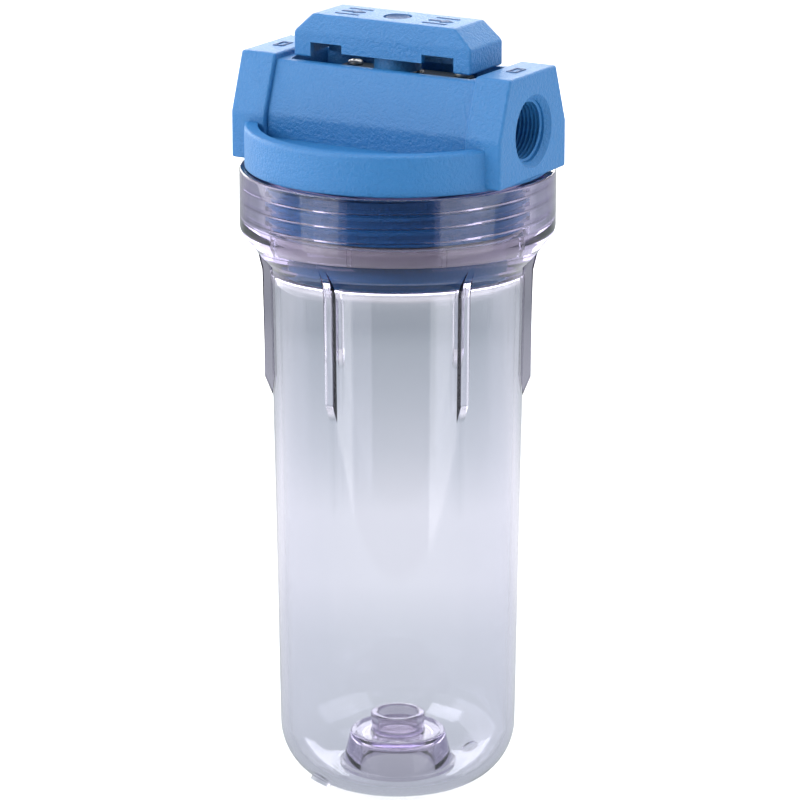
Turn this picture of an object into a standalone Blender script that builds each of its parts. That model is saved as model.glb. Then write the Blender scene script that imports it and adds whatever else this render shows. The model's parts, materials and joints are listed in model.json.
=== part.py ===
"""A ten-inch water filter housing: a head with a built-in rotary bypass valve, and a clear screw-on sump.

The model stands upright on its sump. Z is the sump's axis, the inlet is at -X and the outlet at +X.
"""

import math

import bmesh
import bpy
from mathutils import Matrix, Vector

MM = 0.001
TAU = 2 * math.pi
MERGE = 0.00001  # merge distance of the modelling tools, 0.01 mm
ROUND_STEPS = 36  # facets round the sump and the head
SMALL_STEPS = 20  # facets round the valve's parts
TINY_STEPS = 12  # facets round screws and small bores

# Fits
SEAT_GAP = 0.3 * MM  # between pieces that rest on each other
TURN_GAP = 0.4 * MM  # round a piece that turns in another
THREAD_GAP = 0.6 * MM  # radial, between the two sump threads
SCREW_GAP = 0.3 * MM  # round a screw's shank
CARTRIDGE_SQUEEZE = 0.4 * MM  # on a cartridge's end gaskets

# Cartridge and its seat on the sump's floor
CARTRIDGE_LENGTH = 247.7 * MM
SEAT_Z = 20.8 * MM
SEAT_TOP_RADIUS = 20.0 * MM
SEAT_FLANGE_RADIUS = 25.0 * MM
SEAT_FLANGE_HEIGHT = 2.0 * MM
SEAT_CORE_RADIUS = 17.0 * MM
SEAT_RIDGE = 0.8 * MM
POST_RADIUS = 11.0 * MM
POST_HEIGHT = 7.7 * MM
POST_LIP = 0.5 * MM
POST_BORE_RADIUS = 8.2 * MM

# Sump
COLLAR_RADIUS = 65.0 * MM
COLLAR_HEIGHT = 23.6 * MM
COLLAR_WALL = 10.5 * MM
COLLAR_EDGE = 0.8 * MM
SHOULDER_RADIUS = 6.0 * MM
FLARE_ANGLE = 52.0  # degrees from level, between collar and neck
NECK_STEP = 12.4 * MM  # the neck's radius is this much less than the collar's
NECK_FILLET = 12.0 * MM
BODY_DRAFT = 3.1 * MM  # the body narrows by this much from neck to corner
BODY_WALL = 3.6 * MM
FLOOR_THICKNESS = 4.0 * MM
LEDGE_DEPTH = 22.8 * MM
RIB_COUNT = 6
RIB_PROUD = 2.6 * MM  # beyond the neck
RIB_THICKNESS = 3.8 * MM
RIB_LENGTH = 62.0 * MM
RIB_END_TAPER = 8.0 * MM
RIB_END_ROOT = 0.25  # the share of its end's slope that runs on inside the wall

# Sump thread
THREAD_PITCH = 6.0 * MM
THREAD_HEIGHT = 2.1 * MM
THREAD_ROOT_WIDTH = 2.7 * MM
THREAD_CREST_WIDTH = 1.4 * MM
THREAD_START = 2.2 * MM  # from the nose's step up to the male thread's lowest turn
THREAD_START_ANGLE = 66.0  # degrees, where the male thread's lowest turn starts
THREAD_END_GAP = 0.2 * MM  # between the ledge and the female thread

# Sump O-ring
RING_SETBACK = 5.2 * MM  # from the collar's bore in to the ring's centre line
SUMP_RING_SECTION = 2.3 * MM
GROOVE_WIDTH = 5.2 * MM
GROOVE_DEPTH = 4.4 * MM
GROOVE_LIP = 0.8 * MM

# Head
HEAD_GAP = 0.4 * MM  # between the sump's rim and the head's skirt
SKIRT_SETBACK = 2.2 * MM
SKIRT_HEIGHT = 16.9 * MM
SKIRT_WALL = 5.8 * MM
MOAT_DEPTH = 5.9 * MM
PORT_HEIGHT = 20.5 * MM  # from the skirt's lower edge
PORT_PROUD = 0.5 * MM  # beyond the skirt
BLOCK_THICKNESS = 16.4 * MM
BLOCK_RISE = 23.9 * MM  # from the port's axis
BLOCK_LIFT = 1.0 * MM  # from the skirt's lower edge
BLOCK_MARGIN = 6.9 * MM  # from the valve chamber out to a block's top edge
BLOCK_SPREAD = 8.5 * MM  # a block is this much deeper, each way, at the port's axis than at its top
CORE_DROP = 2.4 * MM
CORE_SETBACK = 2.0 * MM
NOSE_LENGTH = 11.9 * MM  # below the sump's ledge
NOSE_STEP_GAP = 0.9 * MM
NOSE_WALL = 4.0 * MM
NOSE_CEILING_DROP = 3.0 * MM
GALLERY_RADIUS = 38.0 * MM

# Ports
PORT_THREAD_RADIUS = 12.1 * MM
PORT_THREAD_DEPTH = 19.0 * MM
PORT_MOUTH_RADIUS = 15.0 * MM
PORT_MOUTH_DEPTH = 2.2 * MM
PASSAGE_RADIUS = 5.0 * MM

# Valve
CHAMBER_RADIUS = 12.0 * MM
CHAMBER_BASE = 6.0 * MM  # thickness of the head under the chamber
CHAMBER_DROP = 7.5 * MM  # from the port's axis to the chamber's floor
WELL_RISE = 13.5 * MM  # from the port's axis to the well's floor
WELL_SHOULDER = 2.4 * MM  # left of each block beside the well
WELL_WALL = 3.5 * MM
ROTOR_SINK = 1.7 * MM  # from the well's floor down to the rotor's top
CROSS_BORE_RADIUS = 3.8 * MM
POCKET_RADIUS = 2.8 * MM
POCKET_CENTRE = 7.8 * MM
POCKET_FLARE = 1.2 * MM  # the pocket's side opening is this much wider
RING_SECTION = 1.0 * MM
RING_DROP = 2.6 * MM
STEM_RADIUS = 8.0 * MM
STEM_RISE = 5.5 * MM  # the round stem, above the well's floor
STEM_SQUARE = 9.6 * MM
SQUARE_RISE = 18.0 * MM  # the stem's square, above the well's floor
SEAL_RADIUS = 7.0 * MM
SEAL_DEPTH = 3.0 * MM

# Bonnet
BONNET_HALF_LENGTH = 30.0 * MM
BONNET_LAND = 1.5 * MM  # beyond the chamber, front and back
BONNET_CORNER = 4.0 * MM
BONNET_THICKNESS = 3.2 * MM
BONNET_HUB_WALL = 2.6 * MM
BONNET_HUB_HEIGHT = 1.2 * MM
BONNET_SCREW_INSET = 4.8 * MM
SCREW_RADIUS = 1.6 * MM
SCREW_HEAD_RADIUS = 3.1 * MM
SCREW_HEAD_HEIGHT = 1.9 * MM
SCREW_LENGTH = 10.0 * MM
DRIVE_WIDTH = 0.8 * MM
DRIVE_DEPTH = 1.0 * MM

# Flow divider under the gallery's ceiling
DIVIDER_RADIUS = 34.0 * MM
DIVIDER_THICKNESS = 3.6 * MM
DIVIDER_BORE_RADIUS = 3.6 * MM
DIVIDER_CHANNEL_DEPTH = 1.8 * MM
DIVIDER_CHANNEL_WIDTH = 7.0 * MM
DIVIDER_SCREW_RADIUS = 27.0 * MM
DIVIDER_SCREW_COUNT = 3
DIVIDER_SCREW_LENGTH = 7.0 * MM

# Handle
HANDLE_HEIGHT = 18.05 * MM
HANDLE_CLEARANCE = 3.35 * MM  # from its corners to the blocks as it turns
HANDLE_LIFT = 1.2 * MM  # over the head's front and back walls
HANDLE_CHAMFER_LENGTH = 8.1 * MM
HANDLE_CHAMFER_HEIGHT = 7.6 * MM
HANDLE_HALF_DEPTH = 13.2 * MM
HANDLE_TOP_HALF_DEPTH = 11.9 * MM
HANDLE_WALL = 2.6 * MM
HANDLE_ARCH = 2.8 * MM  # the lower edge's rise between the notches
NOTCH_CENTRE = 26.2 * MM
NOTCH_WIDTH = 14.8 * MM
NOTCH_HEIGHT = 6.3 * MM
HUB_WALL = 2.6 * MM
HANDLE_RIB_X = 18.2 * MM
HANDLE_RIB_THICKNESS = 2.0 * MM
HANDLE_SPINE_LIFT = 1.0 * MM  # from the handle's lower edge up to the rib along its middle
HANDLE_SCREW_RADIUS = 2.0 * MM
HANDLE_SCREW_HEAD_RADIUS = 4.1 * MM
HANDLE_SCREW_HEAD_HEIGHT = 2.2 * MM
HANDLE_SCREW_LENGTH = 13.0 * MM
WASHER_RADIUS = 4.6 * MM
WASHER_THICKNESS = 0.8 * MM
CAP_RADIUS = 5.6 * MM
CAP_THICKNESS = 1.2 * MM
CAP_SKIRT = 0.7 * MM

# Heights that follow: the cartridge's length sets them all
DIVIDER_BOTTOM = SEAT_Z + CARTRIDGE_LENGTH - CARTRIDGE_SQUEEZE
DIVIDER_TOP = DIVIDER_BOTTOM + DIVIDER_THICKNESS
GALLERY_CEILING = DIVIDER_TOP + SEAT_GAP
CHAMBER_FLOOR = GALLERY_CEILING + CHAMBER_BASE
PORT_Z = CHAMBER_FLOOR + CHAMBER_DROP
WELL_FLOOR = PORT_Z + WELL_RISE
BLOCK_TOP = PORT_Z + BLOCK_RISE
CORE_TOP = BLOCK_TOP - CORE_DROP
SKIRT_BOTTOM = PORT_Z - PORT_HEIGHT
SKIRT_TOP = SKIRT_BOTTOM + SKIRT_HEIGHT
MOAT_FLOOR = SKIRT_TOP - MOAT_DEPTH
BLOCK_BOTTOM = SKIRT_BOTTOM + BLOCK_LIFT
NOSE_CEILING = SKIRT_BOTTOM - NOSE_CEILING_DROP
SUMP_TOP = SKIRT_BOTTOM - HEAD_GAP
COLLAR_BOTTOM = SUMP_TOP - COLLAR_HEIGHT
LEDGE_Z = SUMP_TOP - LEDGE_DEPTH
NOSE_STEP = LEDGE_Z + NOSE_STEP_GAP
NOSE_BOTTOM = LEDGE_Z - NOSE_LENGTH
ROTOR_BOTTOM = CHAMBER_FLOOR + SEAT_GAP
ROTOR_TOP = WELL_FLOOR - ROTOR_SINK
RING_HEIGHT = ROTOR_TOP - RING_DROP
STEM_TOP = WELL_FLOOR + STEM_RISE
SQUARE_TOP = WELL_FLOOR + SQUARE_RISE
BONNET_BASE = WELL_FLOOR + SEAT_GAP
BONNET_TOP = BONNET_BASE + BONNET_THICKNESS
HANDLE_BOTTOM = CORE_TOP + HANDLE_LIFT
HANDLE_TOP = HANDLE_BOTTOM + HANDLE_HEIGHT
HUB_BOTTOM = STEM_TOP + SEAT_GAP
HANDLE_FLOOR = HANDLE_TOP - CAP_THICKNESS - HANDLE_SCREW_HEAD_HEIGHT - WASHER_THICKNESS - 5 * SEAT_GAP

# Radii and lengths that follow
COLLAR_BORE_RADIUS = COLLAR_RADIUS - COLLAR_WALL
THREAD_NOSE_RADIUS = COLLAR_BORE_RADIUS - THREAD_GAP - THREAD_HEIGHT
SUMP_RING_RADIUS = COLLAR_BORE_RADIUS - RING_SETBACK
THROAT_RADIUS = SUMP_RING_RADIUS - GROOVE_WIDTH / 2 - GROOVE_LIP
SPIGOT_RADIUS = THROAT_RADIUS - THREAD_GAP
NECK_RADIUS = COLLAR_RADIUS - NECK_STEP
BODY_BOTTOM_RADIUS = NECK_RADIUS - BODY_DRAFT
CORNER_RADIUS = BODY_BOTTOM_RADIUS - SEAT_FLANGE_RADIUS + 0.9 * MM
RIB_RADIUS = NECK_RADIUS + RIB_PROUD
SKIRT_RADIUS = COLLAR_RADIUS - SKIRT_SETBACK
BLOCK_HALF_LENGTH = SKIRT_RADIUS + PORT_PROUD
BLOCK_INNER = BLOCK_HALF_LENGTH - BLOCK_THICKNESS
WELL_RADIUS = BLOCK_INNER - WELL_SHOULDER
ROTOR_RADIUS = CHAMBER_RADIUS - TURN_GAP
RING_RADIUS = CHAMBER_RADIUS * math.cos(math.pi / SMALL_STEPS) - RING_SECTION - SEAT_GAP / 3
RING_GROOVE_RADIUS = RING_RADIUS - RING_SECTION - SEAT_GAP / 3
BLOCK_TOP_HALF_DEPTH = CHAMBER_RADIUS + BLOCK_MARGIN
BLOCK_HALF_DEPTH = BLOCK_TOP_HALF_DEPTH + BLOCK_SPREAD
BONNET_HALF_WIDTH = CHAMBER_RADIUS + BONNET_LAND
BONNET_HUB_RADIUS = STEM_RADIUS + TURN_GAP + BONNET_HUB_WALL
HANDLE_HALF_LENGTH = math.sqrt((BLOCK_INNER - HANDLE_CLEARANCE) ** 2 - HANDLE_HALF_DEPTH**2)
HUB_RADIUS = STEM_SQUARE / math.sqrt(2) + SEAT_GAP + HUB_WALL

parts = bpy.data.collections.new("filter_housing")
cutters = bpy.data.collections.new("cutters")


# Tools

def material(name, colour, roughness, metallic=0.0, alpha=1.0):
    """A plain Principled material."""
    made = bpy.data.materials.get(name)
    if made is None:
        made = bpy.data.materials.new(name)
        made.use_nodes = True
        shader = made.node_tree.nodes["Principled BSDF"]
        shader.inputs["Base Color"].default_value = (*colour, 1.0)
        shader.inputs["Roughness"].default_value = roughness
        shader.inputs["Metallic"].default_value = metallic
        shader.inputs["Alpha"].default_value = alpha
    return made


def blue_plastic():
    return material("blue_plastic", (0.10, 0.29, 0.66), 0.45)


def clear_plastic():
    return material("clear_plastic", (0.78, 0.84, 0.90), 0.06, alpha=0.35)


def valve_plastic():
    return material("valve_plastic", (0.05, 0.07, 0.10), 0.5)


def natural_plastic():
    return material("natural_plastic", (0.78, 0.77, 0.73), 0.5)


def black_rubber():
    return material("black_rubber", (0.03, 0.03, 0.035), 0.75)


def grey_silicone():
    return material("grey_silicone", (0.50, 0.46, 0.48), 0.55)


def stainless():
    return material("stainless", (0.62, 0.62, 0.60), 0.3, metallic=1.0)


def linked(name, mesh, group=cutters):
    """A new object for the mesh. Cutters don't render."""
    made = bpy.data.objects.new(name, mesh)
    group.objects.link(made)
    if group is cutters:
        made.hide_render = True
        made.display_type = "WIRE"
    return made


def evaluated_mesh(thing):
    """The object's mesh with its modifiers applied, its doubles merged and its place in its vertices."""
    bpy.context.view_layer.update()
    graph = bpy.context.evaluated_depsgraph_get()
    mesh = bpy.data.meshes.new_from_object(thing.evaluated_get(graph))
    mesh.transform(thing.matrix_world)
    work = bmesh.new()
    work.from_mesh(mesh)
    bmesh.ops.remove_doubles(work, verts=work.verts, dist=MERGE / 10)
    work.to_mesh(mesh)
    work.free()
    return mesh


def settled(thing):
    """The same object with its modifiers and its place applied."""
    mesh = evaluated_mesh(thing)
    thing.modifiers.clear()
    thing.data = mesh
    thing.matrix_world = Matrix.Identity(4)
    return thing


def combined(target, others, operation):
    """target with the other objects joined to it or cut from it."""
    for other in others:
        boolean = target.modifiers.new(operation.lower(), "BOOLEAN")
        boolean.operation = operation
        boolean.solver = "EXACT"
        boolean.object = other
        settled(target)
        bpy.data.objects.remove(other)
    return target


def cut(target, *others):
    return combined(target, others, "DIFFERENCE")


def join(target, *others):
    return combined(target, others, "UNION")


def turned(name, profile, steps=ROUND_STEPS):
    """A solid turned about Z. The profile's (radius, height) points run down its outer side.

    A profile that starts on the axis ends on it too. Any other profile is a closed loop.
    """
    mesh = bpy.data.meshes.new(name)
    points = [(radius, 0.0, height) for radius, height in profile]
    last = len(points) - 1
    edges = [(i, i + 1) for i in range(last)]
    if profile[0][0] > 0:
        edges.append((last, 0))
    mesh.from_pydata(points, edges, [])
    made = linked(name, mesh)
    screw = made.modifiers.new("turn", "SCREW")
    screw.axis = "Z"
    screw.steps = steps
    screw.render_steps = steps
    screw.use_merge_vertices = True
    screw.merge_threshold = MERGE
    return settled(made)


def cylinder(name, radius, low, high, steps=TINY_STEPS, centre=(0.0, 0.0)):
    """An upright cylinder from height low to height high."""
    work = bmesh.new()
    bmesh.ops.create_cone(
        work, cap_ends=True, segments=steps, radius1=radius, radius2=radius, depth=high - low,
        matrix=Matrix.Translation((*centre, (low + high) / 2)),
    )
    return from_work(name, work)


def cross_cylinder(name, radius, start, end, steps=TINY_STEPS, end_radius=None):
    """A cylinder or cone along a straight line between two points."""
    a, b = Vector(start), Vector(end)
    turn = (b - a).to_track_quat("Z", "Y").to_matrix().to_4x4()
    work = bmesh.new()
    bmesh.ops.create_cone(
        work, cap_ends=True, segments=steps, radius1=radius,
        radius2=radius if end_radius is None else end_radius, depth=(b - a).length,
        matrix=Matrix.Translation((a + b) / 2) @ turn,
    )
    return from_work(name, work)


def box(name, low, high):
    """A box between two corners."""
    a, b = Vector(low), Vector(high)
    work = bmesh.new()
    bmesh.ops.create_cube(
        work, size=1.0, matrix=Matrix.Translation((a + b) / 2) @ Matrix.Diagonal((*(b - a), 1.0))
    )
    return from_work(name, work)


def torus(name, radius, section, height, steps=ROUND_STEPS, section_steps=8):
    """A ring of round section, lying flat."""
    loop = [
        (radius + section * math.cos(TAU * i / section_steps), height - section * math.sin(TAU * i / section_steps))
        for i in range(section_steps)
    ]
    return turned(name, loop, steps)


def prism(name, outline, low, high, axis="Z"):
    """A flat outline made solid between two places along an axis: (x, y) along Z, or (y, z) along X."""
    curve = bpy.data.curves.new(name, "CURVE")
    curve.dimensions = "2D"
    curve.fill_mode = "BOTH"
    curve.extrude = (high - low) / 2
    spline = curve.splines.new("POLY")
    spline.points.add(len(outline) - 1)
    spline.use_cyclic_u = True
    for point, (u, v) in zip(spline.points, outline):
        point.co = (u, v, 0.0, 1.0)
    made = linked(name, curve)
    turn = Matrix.Identity(4) if axis == "Z" else Matrix(((0, 0, 1, 0), (1, 0, 0, 0), (0, 1, 0, 0), (0, 0, 0, 1)))
    along = Vector((0, 0, 1)) if axis == "Z" else Vector((1, 0, 0))
    made.matrix_world = Matrix.Translation(along * (low + high) / 2) @ turn
    mesh = evaluated_mesh(made)
    bpy.data.objects.remove(made)
    return linked(name, facing_out(mesh))


def tapered_bar(name, sections):
    """A bar lofted through rectangular sections: (height, half length, half depth), from the bottom up."""
    work = bmesh.new()
    rings = []
    for height, half_length, half_depth in sections:
        corners = ((-1, -1), (1, -1), (1, 1), (-1, 1))
        rings.append([work.verts.new((i * half_length, j * half_depth, height)) for i, j in corners])
    work.faces.new(reversed(rings[0]))
    work.faces.new(rings[-1])
    for lower, upper in zip(rings, rings[1:]):
        for i in range(4):
            j = (i + 1) % 4
            work.faces.new((lower[i], lower[j], upper[j], upper[i]))
    return from_work(name, work)


def facing_out(mesh):
    """The mesh with all its faces pointing out."""
    work = bmesh.new()
    work.from_mesh(mesh)
    bmesh.ops.recalc_face_normals(work, faces=work.faces)
    work.to_mesh(mesh)
    work.free()
    return mesh


def from_work(name, work):
    mesh = bpy.data.meshes.new(name)
    bmesh.ops.recalc_face_normals(work, faces=work.faces)
    work.to_mesh(mesh)
    work.free()
    return linked(name, mesh)


def arc(centre, radius, start, end, steps):
    """Points on an arc, angles in degrees from +radius towards +height."""
    angles = [math.radians(start + (end - start) * i / steps) for i in range(steps + 1)]
    return [(centre[0] + radius * math.cos(a), centre[1] + radius * math.sin(a)) for a in angles]


def turned_about_z(thing, degrees):
    thing.data.transform(Matrix.Rotation(math.radians(degrees), 4, "Z"))
    return thing


def thread_ridge(name, wall_radius, side, lead, bottom, top):
    """A right-hand helical ridge between two heights of a wall, standing out from it, or in where side is -1.

    Its helix passes through the height lead at +X.
    """
    root = wall_radius - side * 0.8 * MM  # sunk in the wall, so that the union is clean
    crest = wall_radius + side * THREAD_HEIGHT
    work = bmesh.new()
    section = [
        (root, -THREAD_ROOT_WIDTH / 2), (root, THREAD_ROOT_WIDTH / 2),
        (crest, THREAD_CREST_WIDTH / 2), (crest, -THREAD_CREST_WIDTH / 2),
    ]
    face = work.faces.new([work.verts.new((r, 0.0, bottom + z)) for r, z in section])
    steps = int((top - bottom - THREAD_ROOT_WIDTH / 2) / THREAD_PITCH * ROUND_STEPS)
    bmesh.ops.spin(
        work, geom=[face, *face.edges, *face.verts], cent=(0, 0, 0), axis=(0, 0, 1),
        dvec=(0, 0, THREAD_PITCH / ROUND_STEPS), angle=TAU * steps / ROUND_STEPS, steps=steps,
    )
    bmesh.ops.remove_doubles(work, verts=work.verts, dist=MERGE / 10)
    return turned_about_z(from_work(name, work), 360 * (bottom - lead) / THREAD_PITCH)


def finished(thing, name, look, smooth_below=40.0):
    """The object as a part: named, coloured, smooth where it is round, and in the housing's collection."""
    thing.name = name
    thing.data.name = name
    cutters.objects.unlink(thing)
    parts.objects.link(thing)
    thing.hide_render = False
    thing.display_type = "TEXTURED"
    thing.data.materials.clear()
    thing.data.materials.append(look)
    thing.data.shade_smooth()
    thing.data.set_sharp_from_angle(angle=math.radians(smooth_below))
    return thing


# Sump

def flare():
    """Where the shoulder's rounding ends, and where the neck's fillet starts and ends."""
    lean = math.radians(FLARE_ANGLE)
    shoulder = (
        COLLAR_RADIUS - SHOULDER_RADIUS * (1 - math.sin(lean)), COLLAR_BOTTOM - SHOULDER_RADIUS * math.cos(lean)
    )
    start = NECK_RADIUS + NECK_FILLET * (1 - math.sin(lean))
    height = shoulder[1] - (shoulder[0] - start) * math.tan(lean)
    return shoulder, (start, height), (NECK_RADIUS, height - NECK_FILLET * math.cos(lean))


def body_radius(height):
    """The sump body's outer radius: it narrows evenly from the neck to the corner, for the mould."""
    share = (height - CORNER_RADIUS) / (flare()[2][1] - CORNER_RADIUS)
    return BODY_BOTTOM_RADIUS + BODY_DRAFT * share


def sump_outside():
    """The outer outline, from the collar's top edge down to the floor."""
    neck_height = flare()[2][1]
    outline = [(COLLAR_RADIUS - COLLAR_EDGE, SUMP_TOP), (COLLAR_RADIUS, SUMP_TOP - COLLAR_EDGE)]
    outline += arc((COLLAR_RADIUS - SHOULDER_RADIUS, COLLAR_BOTTOM), SHOULDER_RADIUS, 0, FLARE_ANGLE - 90, 3)
    outline += arc((NECK_RADIUS + NECK_FILLET, neck_height), NECK_FILLET, 90 + FLARE_ANGLE, 180, 3)
    corner = (BODY_BOTTOM_RADIUS - CORNER_RADIUS, CORNER_RADIUS)
    outline += arc(corner, CORNER_RADIUS, 0, -90, 7)
    return outline


def sump_inside():
    """The inner outline, from the floor up to the collar's top edge, with the cartridge seat."""
    floor = FLOOR_THICKNESS
    post_top = SEAT_Z + POST_HEIGHT
    throat_bottom = NOSE_BOTTOM - 0.5 * MM
    corner = (BODY_BOTTOM_RADIUS - CORNER_RADIUS, CORNER_RADIUS)
    inner_corner = CORNER_RADIUS - BODY_WALL
    groove_out = SUMP_RING_RADIUS + GROOVE_WIDTH / 2
    groove_in = SUMP_RING_RADIUS - GROOVE_WIDTH / 2
    outline = [
        (0.0, SEAT_Z), (POST_BORE_RADIUS, SEAT_Z), (POST_BORE_RADIUS, post_top),
        (POST_RADIUS + POST_LIP, post_top - 0.6 * MM), (POST_RADIUS + POST_LIP, post_top - 2.0 * MM),
        (POST_RADIUS, post_top - 2.6 * MM), (POST_RADIUS, SEAT_Z - SEAT_RIDGE),
        (SEAT_TOP_RADIUS - 2.2 * MM, SEAT_Z - SEAT_RIDGE), (SEAT_TOP_RADIUS - 1.2 * MM, SEAT_Z),
        (SEAT_TOP_RADIUS, SEAT_Z - 1.0 * MM),
        (SEAT_FLANGE_RADIUS - 1.8 * MM, floor + SEAT_FLANGE_HEIGHT),
        (SEAT_FLANGE_RADIUS, floor + SEAT_FLANGE_HEIGHT),
        (SEAT_FLANGE_RADIUS, floor + 0.2 * MM),
    ]
    outline += arc(corner, inner_corner, -80, 0, 6)
    outline += [
        (NECK_RADIUS - BODY_WALL, throat_bottom - (NECK_RADIUS - BODY_WALL - THROAT_RADIUS)),
        (THROAT_RADIUS, throat_bottom),
        (THROAT_RADIUS, LEDGE_Z), (groove_in, LEDGE_Z), (groove_in, LEDGE_Z - GROOVE_DEPTH),
        (groove_out, LEDGE_Z - GROOVE_DEPTH), (groove_out, LEDGE_Z),
        (COLLAR_BORE_RADIUS, LEDGE_Z), (COLLAR_BORE_RADIUS, SUMP_TOP - COLLAR_EDGE),
        (COLLAR_BORE_RADIUS + COLLAR_EDGE, SUMP_TOP),
    ]
    return outline


def seat_core():
    """The hollow under the cartridge seat, which keeps the moulding's wall even."""
    top = SEAT_Z - FLOOR_THICKNESS
    return turned("seat_core", [
        (0.0, top), (SEAT_CORE_RADIUS - 2.5 * MM, top), (SEAT_CORE_RADIUS - 1.5 * MM, top - 1.0 * MM),
        (SEAT_CORE_RADIUS, -1.0 * MM), (0.0, -1.0 * MM),
    ])


def sump_rib(index):
    """One wrench rib, from the flare down the body, ending in a taper."""
    shoulder, fillet_start, neck = flare()
    bottom = shoulder[1] - RIB_LENGTH - RIB_END_TAPER
    tip = body_radius(bottom)
    inside = tip - BODY_WALL / 2
    root = RIB_END_ROOT * RIB_END_TAPER
    sunk = BODY_WALL / 2
    outline = [
        (inside, bottom - root), (tip - RIB_END_ROOT * (RIB_RADIUS - tip), bottom - root),
        (RIB_RADIUS, bottom + RIB_END_TAPER),
        (RIB_RADIUS, neck[1] + 2.0 * MM), (RIB_RADIUS + 1.5 * MM, fillet_start[1] + 1.0 * MM),
        (shoulder[0] - sunk, shoulder[1] - sunk), (fillet_start[0] - sunk, fillet_start[1]),
        (neck[0] - sunk, neck[1]),
    ]
    rib = prism("rib", outline, -RIB_THICKNESS / 2, RIB_THICKNESS / 2)
    rib.data.transform(Matrix(((1, 0, 0, 0), (0, 0, -1, 0), (0, 1, 0, 0), (0, 0, 0, 1))))
    return turned_about_z(rib, 30 + 360 / RIB_COUNT * index)


def thread_lead():
    """The height at which the male thread's helix passes +X."""
    return NOSE_STEP + THREAD_START - THREAD_PITCH * THREAD_START_ANGLE / 360


def sump():
    shell = turned("sump", sump_inside() + sump_outside() + [(0.0, 0.0)])
    cut(shell, seat_core())
    join(shell, *[sump_rib(i) for i in range(RIB_COUNT)])
    lead = thread_lead() + THREAD_PITCH / 2
    thread_bottom = LEDGE_Z + THREAD_END_GAP + THREAD_ROOT_WIDTH / 2
    join(shell, thread_ridge("female", COLLAR_BORE_RADIUS, -1, lead, thread_bottom, SUMP_TOP - COLLAR_EDGE))
    return finished(shell, "sump", clear_plastic())


def sump_oring():
    height = LEDGE_Z - GROOVE_DEPTH + SUMP_RING_SECTION + SEAT_GAP / 3
    ring = torus("ring", SUMP_RING_RADIUS, SUMP_RING_SECTION, height)
    return finished(ring, "sump_oring", grey_silicone(), 60)


# Head

def core_half_depth(height):
    """The head's half depth between the port blocks, which narrows upwards like the blocks."""
    slope = (BLOCK_HALF_DEPTH - BLOCK_TOP_HALF_DEPTH) / (BLOCK_TOP - PORT_Z)
    return BLOCK_HALF_DEPTH - CORE_SETBACK - slope * (height - PORT_Z)


def head_base():
    """The round part: skirt rim, moat floor, threaded nose and spigot."""
    spigot_bore = SPIGOT_RADIUS - NOSE_WALL
    return turned("base", [
        (0.0, MOAT_FLOOR), (SKIRT_RADIUS - SKIRT_WALL, MOAT_FLOOR), (SKIRT_RADIUS - SKIRT_WALL, SKIRT_TOP),
        (SKIRT_RADIUS, SKIRT_TOP), (SKIRT_RADIUS, SKIRT_BOTTOM),
        (THREAD_NOSE_RADIUS, SKIRT_BOTTOM), (THREAD_NOSE_RADIUS, NOSE_STEP), (SPIGOT_RADIUS, NOSE_STEP),
        (SPIGOT_RADIUS, NOSE_BOTTOM), (spigot_bore, NOSE_BOTTOM), (spigot_bore, NOSE_CEILING),
        (GALLERY_RADIUS, NOSE_CEILING), (GALLERY_RADIUS, GALLERY_CEILING), (0.0, GALLERY_CEILING),
    ])


def port_block(side):
    """One port block, with its house-shaped end face."""
    outline = [
        (-BLOCK_HALF_DEPTH, BLOCK_BOTTOM), (BLOCK_HALF_DEPTH, BLOCK_BOTTOM), (BLOCK_HALF_DEPTH, PORT_Z),
        (BLOCK_TOP_HALF_DEPTH, BLOCK_TOP), (-BLOCK_TOP_HALF_DEPTH, BLOCK_TOP), (-BLOCK_HALF_DEPTH, PORT_Z),
    ]
    ends = sorted((side * BLOCK_INNER, side * BLOCK_HALF_LENGTH))
    return prism("block", outline, *ends, axis="X")


def head_core():
    """The part between the blocks, which holds the valve chamber."""
    low, high = MOAT_FLOOR - 2.0 * MM, CORE_TOP
    wide = core_half_depth(PORT_Z)
    outline = [
        (-wide, low), (wide, low), (wide, PORT_Z), (core_half_depth(high), high),
        (-core_half_depth(high), high), (-wide, PORT_Z),
    ]
    reach = BLOCK_INNER + 1.0 * MM
    return prism("core", outline, -reach, reach, axis="X")


def well():
    """The open recess under the handle: round ended, with flat front and back walls."""
    half_width = core_half_depth(CORE_TOP) - WELL_WALL
    half_length = math.sqrt(WELL_RADIUS**2 - half_width**2)
    start = math.degrees(math.atan2(half_width, half_length))
    outline = arc((0.0, 0.0), WELL_RADIUS, -start, start, 4)
    outline += [(-x, -y) for x, y in outline]
    return prism("well", outline, WELL_FLOOR, BLOCK_TOP + 1.0 * MM)


def port_bore(side):
    """One port: mouth, threaded socket and passage to the valve chamber, as a single cutter."""
    face = side * (BLOCK_HALF_LENGTH + 1.0 * MM)
    socket_end = side * (BLOCK_HALF_LENGTH - PORT_THREAD_DEPTH)
    mouth_end = side * (BLOCK_HALF_LENGTH - PORT_MOUTH_DEPTH)
    mouth = cross_cylinder(
        "mouth", PORT_MOUTH_RADIUS + 0.6 * MM, (face, 0, PORT_Z), (mouth_end, 0, PORT_Z),
        SMALL_STEPS, PORT_THREAD_RADIUS + 0.8 * MM,
    )
    socket = cross_cylinder("socket", PORT_THREAD_RADIUS, (face, 0, PORT_Z), (socket_end, 0, PORT_Z), SMALL_STEPS)
    inside = side * CHAMBER_RADIUS / 2
    passage = cross_cylinder("passage", PASSAGE_RADIUS, (face, 0, PORT_Z), (inside, 0, PORT_Z), SMALL_STEPS)
    seat_end = side * (CHAMBER_RADIUS + SEAL_DEPTH)
    seal_seat = cross_cylinder(
        "seal_seat", SEAL_RADIUS + SEAT_GAP, (inside, 0, PORT_Z), (seat_end, 0, PORT_Z), SMALL_STEPS
    )
    return join(socket, mouth, passage, seal_seat)


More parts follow.
